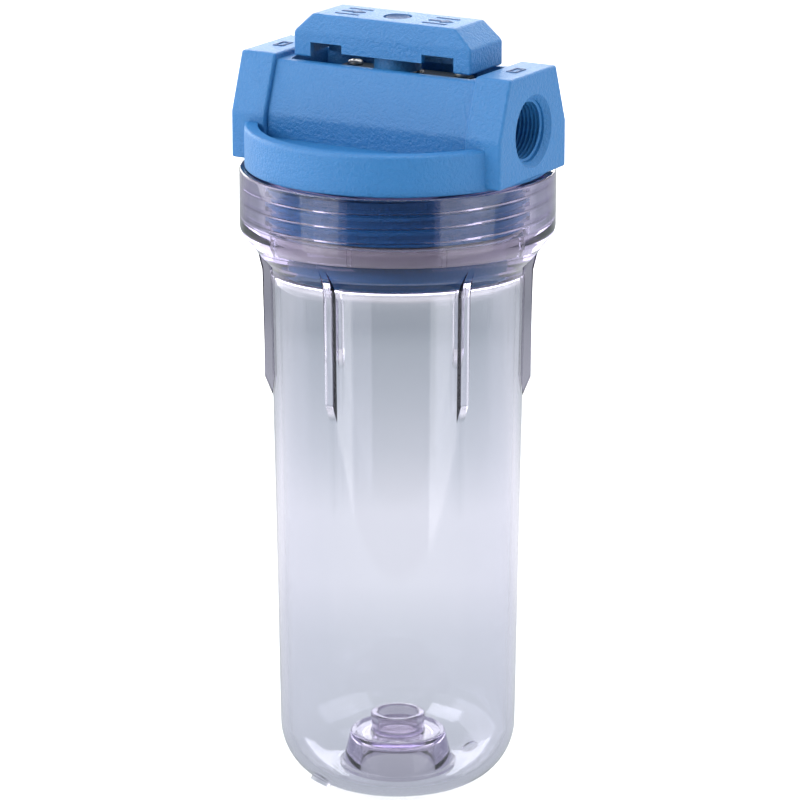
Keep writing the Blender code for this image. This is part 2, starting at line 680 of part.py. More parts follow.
def bonnet_screw_places():
    x, y = BONNET_HALF_LENGTH - BONNET_SCREW_INSET, BONNET_HALF_WIDTH - BONNET_SCREW_INSET
    return [(i * x, j * y) for i in (-1, 1) for j in (-1, 1)]


def divider_screw_places():
    angles = [TAU * (i + 0.25) / DIVIDER_SCREW_COUNT for i in range(DIVIDER_SCREW_COUNT)]
    return [(DIVIDER_SCREW_RADIUS * math.cos(a), DIVIDER_SCREW_RADIUS * math.sin(a)) for a in angles]


def head_body():
    head = head_base()
    thread_bottom, thread_top = NOSE_STEP + THREAD_START, SKIRT_BOTTOM - THREAD_ROOT_WIDTH / 2
    join(head, thread_ridge("male", THREAD_NOSE_RADIUS, 1, thread_lead(), thread_bottom, thread_top))
    join(head, head_core(), port_block(-1), port_block(1))
    cut(head, well())
    cut(head, cylinder("chamber", CHAMBER_RADIUS, CHAMBER_FLOOR, WELL_FLOOR + 1.0 * MM, SMALL_STEPS))
    cut(head, port_bore(-1), port_bore(1))
    for side in (-1, 1):
        drilling = cylinder(
            "drilling", POCKET_RADIUS, GALLERY_CEILING - 1.0 * MM, CHAMBER_FLOOR + 1.0 * MM,
            TINY_STEPS, (side * POCKET_CENTRE, 0.0),
        )
        cut(head, drilling)
    hole = SCREW_RADIUS + SCREW_GAP
    for place in bonnet_screw_places():
        depth = BONNET_TOP - SCREW_LENGTH - 1.0 * MM
        cut(head, cylinder("pilot", hole, depth, WELL_FLOOR + 1.0 * MM, TINY_STEPS, place))
    for place in divider_screw_places():
        height = DIVIDER_BOTTOM + DIVIDER_SCREW_LENGTH + 0.4 * MM
        cut(head, cylinder("pilot", hole, GALLERY_CEILING - 1.0 * MM, height, TINY_STEPS, place))
    return finished(head, "head_body", blue_plastic(), 30)


# Valve

def ring_groove(height):
    """The cutter of an O-ring's groove round the rotor."""
    half = RING_SECTION + 0.2 * MM
    outer = ROTOR_RADIUS + 1.0 * MM
    return turned("groove", [
        (outer, height + half), (outer, height - half),
        (RING_GROOVE_RADIUS, height - half), (RING_GROOVE_RADIUS, height + half),
    ], SMALL_STEPS)


def rotor():
    """The plug: two pockets lead down to the filter, and the bore across them is the bypass."""
    plug = turned("rotor", [
        (0.0, ROTOR_TOP), (ROTOR_RADIUS, ROTOR_TOP), (ROTOR_RADIUS, ROTOR_BOTTOM), (0.0, ROTOR_BOTTOM),
    ], SMALL_STEPS)
    stem = cylinder("stem", STEM_RADIUS, ROTOR_TOP - 1.0 * MM, STEM_TOP, SMALL_STEPS)
    half = STEM_SQUARE / 2
    square = box("square", (-half, -half, ROTOR_TOP), (half, half, SQUARE_TOP))
    join(plug, stem, square)
    cut(plug, ring_groove(RING_HEIGHT))
    reach = ROTOR_RADIUS + 1.0 * MM
    cut(plug, cross_cylinder("cross", CROSS_BORE_RADIUS, (0, -reach, PORT_Z), (0, reach, PORT_Z), SMALL_STEPS))
    for side in (-1, 1):
        inlet = cross_cylinder(
            "inlet", POCKET_RADIUS + POCKET_FLARE, (side * reach, 0, PORT_Z),
            (side * (POCKET_CENTRE - POCKET_RADIUS), 0, PORT_Z),
        )
        drop = cylinder(
            "drop", POCKET_RADIUS, ROTOR_BOTTOM - 1.0 * MM, PORT_Z, TINY_STEPS, (side * POCKET_CENTRE, 0.0)
        )
        cut(plug, join(inlet, drop))
    hole_bottom = HANDLE_FLOOR - HANDLE_SCREW_LENGTH - 1.0 * MM
    cut(plug, cylinder("tapped", HANDLE_SCREW_RADIUS + SCREW_GAP, hole_bottom, SQUARE_TOP + 1.0 * MM))
    return finished(plug, "valve_rotor", natural_plastic(), 30)


def rotor_oring():
    ring = torus("ring", RING_RADIUS, RING_SECTION, RING_HEIGHT, SMALL_STEPS, 8)
    return finished(ring, "rotor_oring", black_rubber(), 60)


def port_seal(side, name):
    """A saddle-shaped seal between a port passage and the rotor."""
    outer = side * (CHAMBER_RADIUS + SEAL_DEPTH - SEAT_GAP)
    inner = side * (CHAMBER_RADIUS - 4.0 * MM)
    ring = cross_cylinder("seal", SEAL_RADIUS, (inner, 0, PORT_Z), (outer, 0, PORT_Z), SMALL_STEPS)
    cut(ring, cross_cylinder("way", PASSAGE_RADIUS, (0, 0, PORT_Z), (outer * 2, 0, PORT_Z), SMALL_STEPS))
    room = ROTOR_RADIUS + TURN_GAP
    cut(ring, cylinder("rotor_room", room, CHAMBER_FLOOR - 5.0 * MM, WELL_FLOOR, 2 * SMALL_STEPS))
    return finished(ring, name, black_rubber(), 30)


def bonnet():
    """The plate that keeps the rotor in its chamber."""
    outline = []
    for i, j, start in ((1, 1, 0), (-1, 1, 90), (-1, -1, 180), (1, -1, 270)):
        centre = (i * (BONNET_HALF_LENGTH - BONNET_CORNER), j * (BONNET_HALF_WIDTH - BONNET_CORNER))
        outline += arc(centre, BONNET_CORNER, start, start + 90, 3)
    plate = prism("bonnet", outline, BONNET_BASE, BONNET_TOP)
    hub = cylinder("hub", BONNET_HUB_RADIUS, BONNET_TOP - 1.0 * MM, BONNET_TOP + BONNET_HUB_HEIGHT, SMALL_STEPS)
    join(plate, hub)
    bore = STEM_RADIUS + TURN_GAP
    cut(plate, cylinder("bore", bore, BONNET_BASE - 1.0 * MM, BONNET_TOP + 5.0 * MM, SMALL_STEPS))
    for place in bonnet_screw_places():
        hole = cylinder(
            "hole", SCREW_RADIUS + SCREW_GAP, BONNET_BASE - 1.0 * MM, BONNET_TOP + 1.0 * MM, TINY_STEPS, place
        )
        cut(plate, hole)
    return finished(plate, "valve_bonnet", valve_plastic(), 30)


def bonnet_oring():
    """The stem's face seal, between the rotor's top and the bonnet."""
    space = BONNET_BASE - ROTOR_TOP
    section = space / 2 - SEAT_GAP / 3
    ring = torus("ring", STEM_RADIUS + section + 1.0 * MM, section, ROTOR_TOP + space / 2, SMALL_STEPS, 6)
    return finished(ring, "stem_oring", black_rubber(), 60)


def screw(name, radius, head_radius, head_height, length, place, seat, upwards=False):
    """A round-headed screw with a cross drive. Its head's underside is at seat, and its shank goes down, or up."""
    body = turned("screw", [
        (0.0, head_height), (head_radius * 0.75, head_height), (head_radius, head_height * 0.55),
        (head_radius, 0.0), (radius, 0.0), (radius, -length + radius), (radius * 0.3, -length), (0.0, -length),
    ], TINY_STEPS)
    slot = 0.62 * head_radius
    half = DRIVE_WIDTH / 2
    top = head_height + 1.0 * MM
    bottom = head_height - DRIVE_DEPTH
    cut(body, box("drive", (-slot, -half, bottom), (slot, half, top)))
    cut(body, box("drive", (-half, -slot, bottom), (half, slot, top)))
    if upwards:
        body.data.transform(Matrix.Rotation(math.pi, 4, "X"))
    body.data.transform(Matrix.Translation((*place, seat)))
    return finished(body, name, stainless(), 35)


def bonnet_screws():
    for number, place in enumerate(bonnet_screw_places(), 1):
        screw(
            f"bonnet_screw_{number}", SCREW_RADIUS, SCREW_HEAD_RADIUS, SCREW_HEAD_HEIGHT, SCREW_LENGTH,
            place, BONNET_TOP + SEAT_GAP,
        )


# Flow divider

def flow_divider():
    """The plate under the gallery's ceiling: it seats the cartridge and keeps dirty and clean water apart."""
    tube_bottom = DIVIDER_BOTTOM - POST_HEIGHT
    plate = turned("divider", [
        (DIVIDER_RADIUS, DIVIDER_TOP), (DIVIDER_RADIUS, DIVIDER_BOTTOM),
        (SEAT_TOP_RADIUS - 1.0 * MM, DIVIDER_BOTTOM), (SEAT_TOP_RADIUS - 1.6 * MM, DIVIDER_BOTTOM - 0.8 * MM),
        (SEAT_TOP_RADIUS - 2.2 * MM, DIVIDER_BOTTOM), (POST_RADIUS, DIVIDER_BOTTOM),
        (POST_RADIUS, tube_bottom + 1.0 * MM), (POST_RADIUS - 1.0 * MM, tube_bottom),
        (POST_BORE_RADIUS, tube_bottom), (POST_BORE_RADIUS, DIVIDER_BOTTOM),
        (DIVIDER_BORE_RADIUS, DIVIDER_BOTTOM), (DIVIDER_BORE_RADIUS, DIVIDER_TOP),
    ], SMALL_STEPS)
    half = DIVIDER_CHANNEL_WIDTH / 2
    low, high = DIVIDER_TOP - DIVIDER_CHANNEL_DEPTH, DIVIDER_TOP + 1.0 * MM
    inner = POCKET_CENTRE - POCKET_RADIUS - 0.2 * MM
    outer = POCKET_CENTRE + POCKET_RADIUS + 0.2 * MM
    cut(plate, box("clean", (0.0, -half, low), (outer, half, high)))
    cut(plate, box("dirty", (-DIVIDER_RADIUS - 1.0 * MM, -half, low), (-inner, half, high)))
    for place in divider_screw_places():
        hole = cylinder(
            "hole", SCREW_RADIUS + SCREW_GAP, DIVIDER_BOTTOM - 1.0 * MM, DIVIDER_TOP + 1.0 * MM, TINY_STEPS, place
        )
        cut(plate, hole)
    return finished(plate, "flow_divider", natural_plastic(), 30)


def divider_screws():
    for number, place in enumerate(divider_screw_places(), 1):
        screw(
            f"divider_screw_{number}", SCREW_RADIUS, SCREW_HEAD_RADIUS, SCREW_HEAD_HEIGHT, DIVIDER_SCREW_LENGTH,
            place, DIVIDER_BOTTOM - SEAT_GAP, upwards=True,
        )


# Handle

def handle_bar(name, inset, top, bottom):
    """The handle's outer form, or with an inset its hollow."""
    knee = HANDLE_TOP - HANDLE_CHAMFER_HEIGHT
    return tapered_bar(name, [
        (bottom, HANDLE_HALF_LENGTH - inset, HANDLE_HALF_DEPTH - inset),
        (knee - inset * 0.4, HANDLE_HALF_LENGTH - inset, HANDLE_HALF_DEPTH - inset),
        (top, HANDLE_HALF_LENGTH - HANDLE_CHAMFER_LENGTH - inset * 0.6, HANDLE_TOP_HALF_DEPTH - inset),
    ])


def handle():
    """A hollow moulded bar with a hub that fits the rotor's square, two ribs and a recess for its screw."""
    bar = handle_bar("handle", 0.0, HANDLE_TOP, HANDLE_BOTTOM)
    roof = HANDLE_TOP - HANDLE_WALL
    cut(bar, handle_bar("hollow", HANDLE_WALL, roof, HANDLE_BOTTOM - 1.0 * MM))
    outside = HANDLE_HALF_DEPTH + 1.0 * MM
    below = HANDLE_BOTTOM - 1.0 * MM
    cut(bar, box("arch", (-NOTCH_CENTRE, -outside, below), (NOTCH_CENTRE, outside, HANDLE_BOTTOM + HANDLE_ARCH)))
    half = HANDLE_RIB_THICKNESS / 2
    depth = HANDLE_HALF_DEPTH - HANDLE_WALL / 2
    spine_end = HANDLE_HALF_LENGTH - HANDLE_CHAMFER_LENGTH - HANDLE_WALL / 2
    rib_bottom = HANDLE_BOTTOM + NOTCH_HEIGHT + 1.0 * MM
    spine_bottom = HANDLE_BOTTOM + HANDLE_SPINE_LIFT
    for side in (-1, 1):
        centre = side * NOTCH_CENTRE
        cut(bar, box(
            "notch", (centre - NOTCH_WIDTH / 2, -outside, below),
            (centre + NOTCH_WIDTH / 2, outside, HANDLE_BOTTOM + NOTCH_HEIGHT),
        ))
        rib = side * HANDLE_RIB_X
        join(bar, box("rib", (rib - half, -depth, rib_bottom), (rib + half, depth, roof + 1.0 * MM)))
        ends = sorted((side * (HUB_RADIUS - 1.0 * MM), side * spine_end))
        join(bar, box("spine", (ends[0], -half, spine_bottom), (ends[1], half, roof + 1.0 * MM)))
    join(bar, cylinder("hub", HUB_RADIUS, HUB_BOTTOM, roof + 1.0 * MM, SMALL_STEPS))
    socket = STEM_SQUARE / 2 + SEAT_GAP
    cut(bar, box("socket", (-socket, -socket, HUB_BOTTOM - 1.0 * MM), (socket, socket, SQUARE_TOP + SEAT_GAP)))
    cut(bar, cylinder("recess", CAP_RADIUS + SEAT_GAP, HANDLE_FLOOR, HANDLE_TOP + 1.0 * MM, SMALL_STEPS))
    cut(bar, cylinder("hole", HANDLE_SCREW_RADIUS + SCREW_GAP, SQUARE_TOP - 1.0 * MM, HANDLE_FLOOR + 1.0 * MM))
    return finished(bar, "handle", blue_plastic(), 30)


def handle_washer():
    low = HANDLE_FLOOR + SEAT_GAP
    washer = turned("washer", [
        (WASHER_RADIUS, low + WASHER_THICKNESS), (WASHER_RADIUS, low),
        (HANDLE_SCREW_RADIUS + SCREW_GAP, low), (HANDLE_SCREW_RADIUS + SCREW_GAP, low + WASHER_THICKNESS),
    ], SMALL_STEPS)
    return finished(washer, "handle_washer", stainless())


def handle_screw():
    seat = HANDLE_FLOOR + 2 * SEAT_GAP + WASHER_THICKNESS
    return screw(
        "handle_screw", HANDLE_SCREW_RADIUS, HANDLE_SCREW_HEAD_RADIUS, HANDLE_SCREW_HEAD_HEIGHT,
        HANDLE_SCREW_LENGTH, (0.0, 0.0), seat,
    )


def handle_cap():
    """The round plug that covers the handle's screw."""
    high = HANDLE_TOP - SEAT_GAP / 2
    low = HANDLE_FLOOR + SEAT_GAP
    cap = turned("cap", [
        (0.0, high), (CAP_RADIUS - 0.5 * MM, high), (CAP_RADIUS, high - 0.5 * MM), (CAP_RADIUS, low),
        (CAP_RADIUS - CAP_SKIRT, low), (CAP_RADIUS - CAP_SKIRT, high - CAP_THICKNESS), (0.0, high - CAP_THICKNESS),
    ], SMALL_STEPS)
    return finished(cap, "handle_cap", blue_plastic())


def clear_scene():
    for old in list(bpy.data.objects):
        bpy.data.objects.remove(old)
    for group in (parts, cutters):
        bpy.context.scene.collection.children.link(group)


def main():
    clear_scene()
    sump()
    sump_oring()
    head_body()
    rotor()
    rotor_oring()
    port_seal(-1, "inlet_seal")
    port_seal(1, "outlet_seal")
    bonnet()
    bonnet_oring()
    bonnet_screws()
    flow_divider()
    divider_screws()
    handle()
    handle_washer()
    handle_screw()
    handle_cap()


main()
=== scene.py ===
"""The looks of a ten-inch water filter housing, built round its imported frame.

Lengths are in millimetres until a piece is finished, and in metres after that. Z is the sump's axis,
the inlet is at -X and the outlet at +X. The frame gives the heights and the overall radii, and each
class holds its own sizes.
"""

import json
import logging
import math
from dataclasses import dataclass, field
from enum import Enum
from typing import Any, Callable, Iterable, Sequence

import bmesh
import bpy
from mathutils import Matrix, Vector

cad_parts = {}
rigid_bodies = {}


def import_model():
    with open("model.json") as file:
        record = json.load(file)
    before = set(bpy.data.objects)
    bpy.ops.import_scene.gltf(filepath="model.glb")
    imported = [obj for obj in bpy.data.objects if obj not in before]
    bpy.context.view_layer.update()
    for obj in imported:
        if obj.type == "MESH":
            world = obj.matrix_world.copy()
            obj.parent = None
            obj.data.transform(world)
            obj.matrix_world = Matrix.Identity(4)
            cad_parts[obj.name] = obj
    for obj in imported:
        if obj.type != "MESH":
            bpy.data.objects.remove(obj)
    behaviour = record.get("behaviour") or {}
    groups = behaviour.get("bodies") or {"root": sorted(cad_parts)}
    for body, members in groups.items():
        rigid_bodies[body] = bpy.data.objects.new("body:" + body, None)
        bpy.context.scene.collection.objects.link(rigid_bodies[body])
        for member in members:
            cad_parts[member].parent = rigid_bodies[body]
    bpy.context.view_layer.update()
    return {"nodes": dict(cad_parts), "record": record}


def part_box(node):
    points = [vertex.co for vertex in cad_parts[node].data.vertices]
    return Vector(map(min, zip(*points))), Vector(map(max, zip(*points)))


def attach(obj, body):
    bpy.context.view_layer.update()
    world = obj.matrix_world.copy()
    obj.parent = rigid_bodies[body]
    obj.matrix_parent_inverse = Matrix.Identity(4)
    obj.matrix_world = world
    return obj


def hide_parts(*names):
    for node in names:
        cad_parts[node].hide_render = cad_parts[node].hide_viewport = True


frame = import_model()

LOG = logging.getLogger("filter_housing")
MM = 0.001
TAU = 2 * math.pi
ROUND = 144  # facets round the head and the sump
FINE = 64  # facets round the ports and the valve's parts
SMALL = 24  # facets round screws
MERGE = 0.0005  # millimetres

Point = tuple[float, float]
Profile = list[Point]


class Operation(Enum):
    """What a Boolean does with its tools."""

    JOIN = "UNION"
    CUT = "DIFFERENCE"


class Way(Enum):
    """Which way a helical ridge stands from its wall."""

    OUT = 1
    IN = -1


# Meshes

def link(name: str, mesh: bpy.types.Mesh) -> bpy.types.Object:
    """Makes a new object for a mesh.

    Args:
        name: The object's name.
        mesh: Its mesh.

    Returns:
        The object, linked to the scene.
    """
    made = bpy.data.objects.new(name, mesh)
    bpy.context.scene.collection.objects.link(made)
    return made


def from_work(name: str, work: bmesh.types.BMesh) -> bpy.types.Object:
    """Turns mesh work into an object with its doubles merged and its faces pointing out.

    Args:
        name: The object's name.
        work: The mesh work, which is freed.

    Returns:
        The new object.
    """
    bmesh.ops.remove_doubles(work, verts=work.verts, dist=MERGE)
    bmesh.ops.recalc_face_normals(work, faces=work.faces)
    mesh = bpy.data.meshes.new(name)
    work.to_mesh(mesh)
    work.free()
    return link(name, mesh)


def plain_mesh(thing: bpy.types.Object) -> bpy.types.Object:
    """Applies an object's modifiers, which leaves it a plain mesh.

    Args:
        thing: The object.

    Returns:
        The same object.
    """
    bpy.context.view_layer.update()
    graph = bpy.context.evaluated_depsgraph_get()
    mesh = bpy.data.meshes.new_from_object(thing.evaluated_get(graph))
    thing.modifiers.clear()
    thing.data = mesh
    return thing


def boolean(
    target: bpy.types.Object, operation: Operation, tools: Iterable[bpy.types.Object]
) -> bpy.types.Object:
    """Joins tools to an object, or cuts them from it, all at once. The tools are used up.

    Args:
        target: The object that changes.
        operation: Join or cut.
        tools: The closed solids to join or cut.

    Returns:
        The same object.
    """
    rack = bpy.data.collections.new("tools")
    for tool in tools:
        rack.objects.link(tool)
    step = target.modifiers.new("boolean", "BOOLEAN")
    step.operation = operation.value
    step.solver = "EXACT"
    step.operand_type = "COLLECTION"
    step.collection = rack
    plain_mesh(target)
    for tool in list(rack.objects):
        bpy.data.objects.remove(tool)
    bpy.data.collections.remove(rack)
    return target


def arc(centre: Point, radius: float, start: float, end: float, steps: int) -> Profile:
    """Gives points on an arc.

    Args:
        centre: The arc's centre.
        radius: Its radius.
        start: Its first angle in degrees, from the first axis towards the second.
        end: Its last angle.
        steps: How many straight stretches it has.

    Returns:
        The points, one more than the stretches.
    """
    angles = [math.radians(start + (end - start) * i / steps) for i in range(steps + 1)]
    return [(centre[0] + radius * math.cos(a), centre[1] + radius * math.sin(a)) for a in angles]


def revolve(name: str, profile: Profile, steps: int = ROUND) -> bpy.types.Object:
    """Turns a profile of (radius, height) points about Z into a closed solid.

    Args:
        name: The object's name.
        profile: The points. A profile that starts on the axis ends there, and any other is a closed loop.
        steps: Facets round the axis.

    Returns:
        The solid.
    """
    work = bmesh.new()
    rings: list[list[bmesh.types.BMVert]] = []
    for radius, height in profile:
        if radius == 0:
            rings.append([work.verts.new((0.0, 0.0, height))])
            continue
        turn = [TAU * i / steps for i in range(steps)]
        rings.append([work.verts.new((radius * math.cos(a), radius * math.sin(a), height)) for a in turn])
    pairs = list(zip(rings, rings[1:]))
    if profile[0][0] > 0:
        pairs.append((rings[-1], rings[0]))
    for one, other in pairs:
        for i in range(steps):
            j = (i + 1) % steps
            corners = [one[i % len(one)], one[j % len(one)], other[j % len(other)], other[i % len(other)]]
            work.faces.new(list(dict.fromkeys(corners)))
    return from_work(name, work)


def prism(name: str, outline: Profile, low: float, high: float, round_edge: float = 0.0) -> bpy.types.Object:
    """Makes a flat outline solid along Z, with its edges rounded.

    Args:
        name: The object's name.
        outline: The outline's corners.
        low: Its lower height.
        high: Its upper height.
        round_edge: The radius of its edges, or zero for sharp ones.

    Returns:
        The solid.
    """
    work = bmesh.new()
    floor = [work.verts.new((x, y, low)) for x, y in outline]
    roof = [work.verts.new((x, y, high)) for x, y in outline]
    work.faces.new(list(reversed(floor)))
    work.faces.new(roof)
    for i in range(len(outline)):
        j = (i + 1) % len(outline)
        work.faces.new((floor[i], floor[j], roof[j], roof[i]))
    if round_edge:
        bmesh.ops.bevel(work, geom=work.edges, offset=round_edge, segments=3, profile=0.5, affect="EDGES")
    return from_work(name, work)


def cone(
    name: str, start: Sequence[float], end: Sequence[float], radius: float, end_radius: float | None = None,
    steps: int = FINE,
) -> bpy.types.Object:
    """Makes a cylinder or a cone between two points.

    Args:
        name: The object's name.
        start: The middle of its first face.
        end: The middle of its last face.
        radius: Its first radius.
        end_radius: Its last radius, if that differs.
        steps: Facets round it.

    Returns:
        The solid.
    """
    a, b = Vector(start), Vector(end)
    work = bmesh.new()
    bmesh.ops.create_cone(
        work, cap_ends=True, segments=steps, radius1=radius,
        radius2=radius if end_radius is None else end_radius,
        depth=(b - a).length,
        matrix=Matrix.Translation((a + b) / 2) @ (b - a).to_track_quat("Z", "Y").to_matrix().to_4x4(),
    )
    return from_work(name, work)


def block(
    name: str, low: Sequence[float], high: Sequence[float], round_edge: float = 0.0
) -> bpy.types.Object:
    """Makes a box between two corners, with its edges rounded.

    Args:
        name: The object's name.
        low: Its lowest corner.
        high: Its highest corner.
        round_edge: The radius of its edges, or zero for sharp ones.

    Returns:
        The solid.
    """
    outline = [(low[0], low[1]), (high[0], low[1]), (high[0], high[1]), (low[0], high[1])]
    return prism(name, outline, low[2], high[2], round_edge)


def moved(thing: bpy.types.Object, matrix: Matrix) -> bpy.types.Object:
    """Moves an object's vertices and leaves the object where it is."""
    thing.data.transform(matrix)
    if matrix.determinant() < 0:
        thing.data.flip_normals()
    return thing


def along_x() -> Matrix:
    """The turn that lays Z along X and keeps a Y and Z outline upright."""
    return Matrix(((0, 0, 1, 0), (1, 0, 0, 0), (0, 1, 0, 0), (0, 0, 0, 1)))


@dataclass(frozen=True)
class Thread:
    """A helical ridge on a round wall.

    Attributes:
        wall: The wall's radius.
        way: Whether the ridge stands out or in.
        lead: The height at which its helix passes +X.
        bottom: The height of its first turn.
        top: The height that its last turn stays under.
        pitch: Its rise in a turn.
        height: How far it stands from the wall.
        root: Its width at the wall.
        crest: Its width at the crest.
        steps: Facets in a turn.
        fade: The share of a turn over which each end dies away.
    """

    wall: float
    way: Way
    lead: float
    bottom: float
    top: float
    pitch: float
    height: float
    root: float
    crest: float
    steps: int = ROUND
    fade: float = 0.08
    sunk: float = 0.6

    def build(self, name: str) -> bpy.types.Object:
        """Builds the ridge as a closed solid, sunk in the wall a little."""
        side = self.way.value
        count = int((self.top - self.bottom - self.root / 2) / self.pitch * self.steps)
        faded = max(1, int(self.fade * self.steps))
        work = bmesh.new()
        sections = []
        for i in range(count + 1):
            share = min(1.0, i / faded, (count - i) / faded)
            reach = self.wall + side * (-self.sunk / 2 + (self.height + self.sunk / 2) * share)
            inner = self.wall - side * self.sunk
            angle = TAU * (i / self.steps + (self.bottom - self.lead) / self.pitch)
            rise = self.bottom + self.pitch * i / self.steps
            corners = [
                (inner, -self.root / 2), (inner, self.root / 2),
                (reach, self.crest / 2), (reach, -self.crest / 2),
            ]
            sections.append([
                work.verts.new((r * math.cos(angle), r * math.sin(angle), rise + z)) for r, z in corners
            ])
        for one, other in zip(sections, sections[1:]):
            for k in range(4):
                work.faces.new((one[k], one[(k + 1) % 4], other[(k + 1) % 4], other[k]))
        work.faces.new(sections[0])
        work.faces.new(list(reversed(sections[-1])))
        return from_work(name, work)


# The fit between the sump and the head

COLLAR_WALL = 10.5
RING_SETBACK = 5.2
GROOVE: Point = (5.2, 4.4)
GROOVE_LIP = 0.8
NOSE_STEP_GAP = 0.9
THREAD_GAP = 0.6
THREAD_START = 2.2
THREAD_START_ANGLE = 66.0
THREAD_PITCH, THREAD_HEIGHT, THREAD_ROOT, THREAD_CREST = 6.0, 2.1, 2.7, 1.4
THREAD_FORM = (THREAD_PITCH, THREAD_HEIGHT, THREAD_ROOT, THREAD_CREST)
THREAD_SET = THREAD_PITCH * THREAD_START_ANGLE / 360


# Geometry Nodes

class Pattern:
    """A Geometry Nodes tree that repeats one piece, with named inputs for its sizes."""

    def __init__(self, name: str) -> None:
        """Starts an empty tree.

        Args:
            name: The tree's name.
        """
        self.tree = bpy.data.node_groups.new(name, "GeometryNodeTree")
        self.tree.interface.new_socket("Geometry", in_out="INPUT", socket_type="NodeSocketGeometry")
        self.tree.interface.new_socket("Geometry", in_out="OUTPUT", socket_type="NodeSocketGeometry")
        self.inputs = self.tree.nodes.new("NodeGroupInput")
        self.output = self.tree.nodes.new("NodeGroupOutput")

    def size(self, name: str, kind: str) -> bpy.types.NodeSocket:
        """Adds a named input to the tree.

        Args:
            name: The input's name.
            kind: Its socket type without the prefix, such as Float or Int.

        Returns:
            The socket to link from.
        """
        self.tree.interface.new_socket(name, in_out="INPUT", socket_type=f"NodeSocket{kind}")
        return self.inputs.outputs[name]

    def node(self, kind: str, settings: dict[str, Any] | None = None, **values: Any) -> bpy.types.Node:
        """Adds a node.

        Args:
            kind: The node's type without the prefix.
            settings: The node's own settings, which are set first.
            **values: Values or links of its sockets, by name with _ for a space.

        Returns:
            The node.
        """
        prefix = "" if kind.startswith("Shader") or kind.startswith("Function") else "GeometryNode"
        made = self.tree.nodes.new(prefix + kind)
        for key, value in (settings or {}).items():
            setattr(made, key, value)
        for key, value in values.items():
            socket = made.inputs[key.replace("_", " ")]
            if isinstance(value, bpy.types.NodeSocket):
                self.tree.links.new(value, socket)
            else:
                socket.default_value = value
        return made

    def maths(self, operation: str, first: Any, second: Any) -> bpy.types.NodeSocket:
        """Adds a Math node on two values or links.

        Args:
            operation: The Math node's operation.
            first: Its first value or link.
            second: Its second value or link.

        Returns:
            Its result.
        """
        made = self.node("ShaderNodeMath", {"operation": operation})
        for socket, value in zip(made.inputs, (first, second)):
            if isinstance(value, bpy.types.NodeSocket):
                self.tree.links.new(value, socket)
            else:
                socket.default_value = value
        return made.outputs[0]

    def finish(self, instances: bpy.types.NodeSocket, look: bpy.types.Material) -> None:
        """Ends the tree in Realize Instances and Set Material.

        Args:
            instances: The instances.
            look: Their material.
        """
        real = self.node("RealizeInstances", Geometry=instances)
        dressed = self.node("SetMaterial", Geometry=real.outputs[0], Material=look)
        self.tree.links.new(dressed.outputs[0], self.output.inputs[0])

    def run(self, name: str, **values: Any) -> bpy.types.Object:
        """Runs the tree once, as a plain mesh.

        Args:
            name: The result's name.
            **values: The tree's inputs, by name with _ for a space.

        Returns:
            The result.
        """
        holder = link(name, bpy.data.meshes.new(name))
        step = holder.modifiers.new("pattern", "NODES")
        step.node_group = self.tree
        sockets = {s.name: s.identifier for s in self.tree.interface.items_tree if s.in_out == "INPUT"}
        for key, value in values.items():
            step[sockets[key.replace("_", " ")]] = value
        return plain_mesh(holder)


def ring_pattern(look: bpy.types.Material) -> Pattern:
    """Makes the tree that repeats a piece round the Z axis.

    Args:
        look: The material of the result.

    Returns:
        The tree, with inputs Piece, Count, First Angle and Step Angle, in radians.
    """
    made = Pattern("ring_pattern")
    piece, count = made.size("Piece", "Object"), made.size("Count", "Int")
    first, step = made.size("First Angle", "Float"), made.size("Step Angle", "Float")
    points = made.node("Points", Count=count)
    turn = made.maths("MULTIPLY_ADD", made.node("InputIndex").outputs[0], step)
    made.tree.links.new(first, turn.node.inputs[2])
    rotation = made.node("ShaderNodeCombineXYZ", Z=turn)
    source = made.node("ObjectInfo", Object=piece)
    placed = made.node(
        "InstanceOnPoints", Points=points.outputs[0], Instance=source.outputs["Geometry"],
        Rotation=rotation.outputs[0],
    )
    made.finish(placed.outputs[0], look)
    return made


def corner_pattern(look: bpy.types.Material) -> Pattern:
    """Makes the tree that sets a piece at a rectangle's four corners.

    Args:
        look: The material of the result.

    Returns:
        The tree, with inputs Piece, Length, Width and Height.
    """
    made = Pattern("corner_pattern")
    piece, length = made.size("Piece", "Object"), made.size("Length", "Float")
    width, height = made.size("Width", "Float"), made.size("Height", "Float")
    grid = made.node("MeshGrid", Size_X=length, Size_Y=width, Vertices_X=2, Vertices_Y=2)
    lift = made.node("ShaderNodeCombineXYZ", Z=height)
    raised = made.node("SetPosition", Geometry=grid.outputs["Mesh"], Offset=lift.outputs[0])
    source = made.node("ObjectInfo", Object=piece)
    placed = made.node("InstanceOnPoints", Points=raised.outputs[0], Instance=source.outputs["Geometry"])
    made.finish(placed.outputs[0], look)
    return made


# Shaders

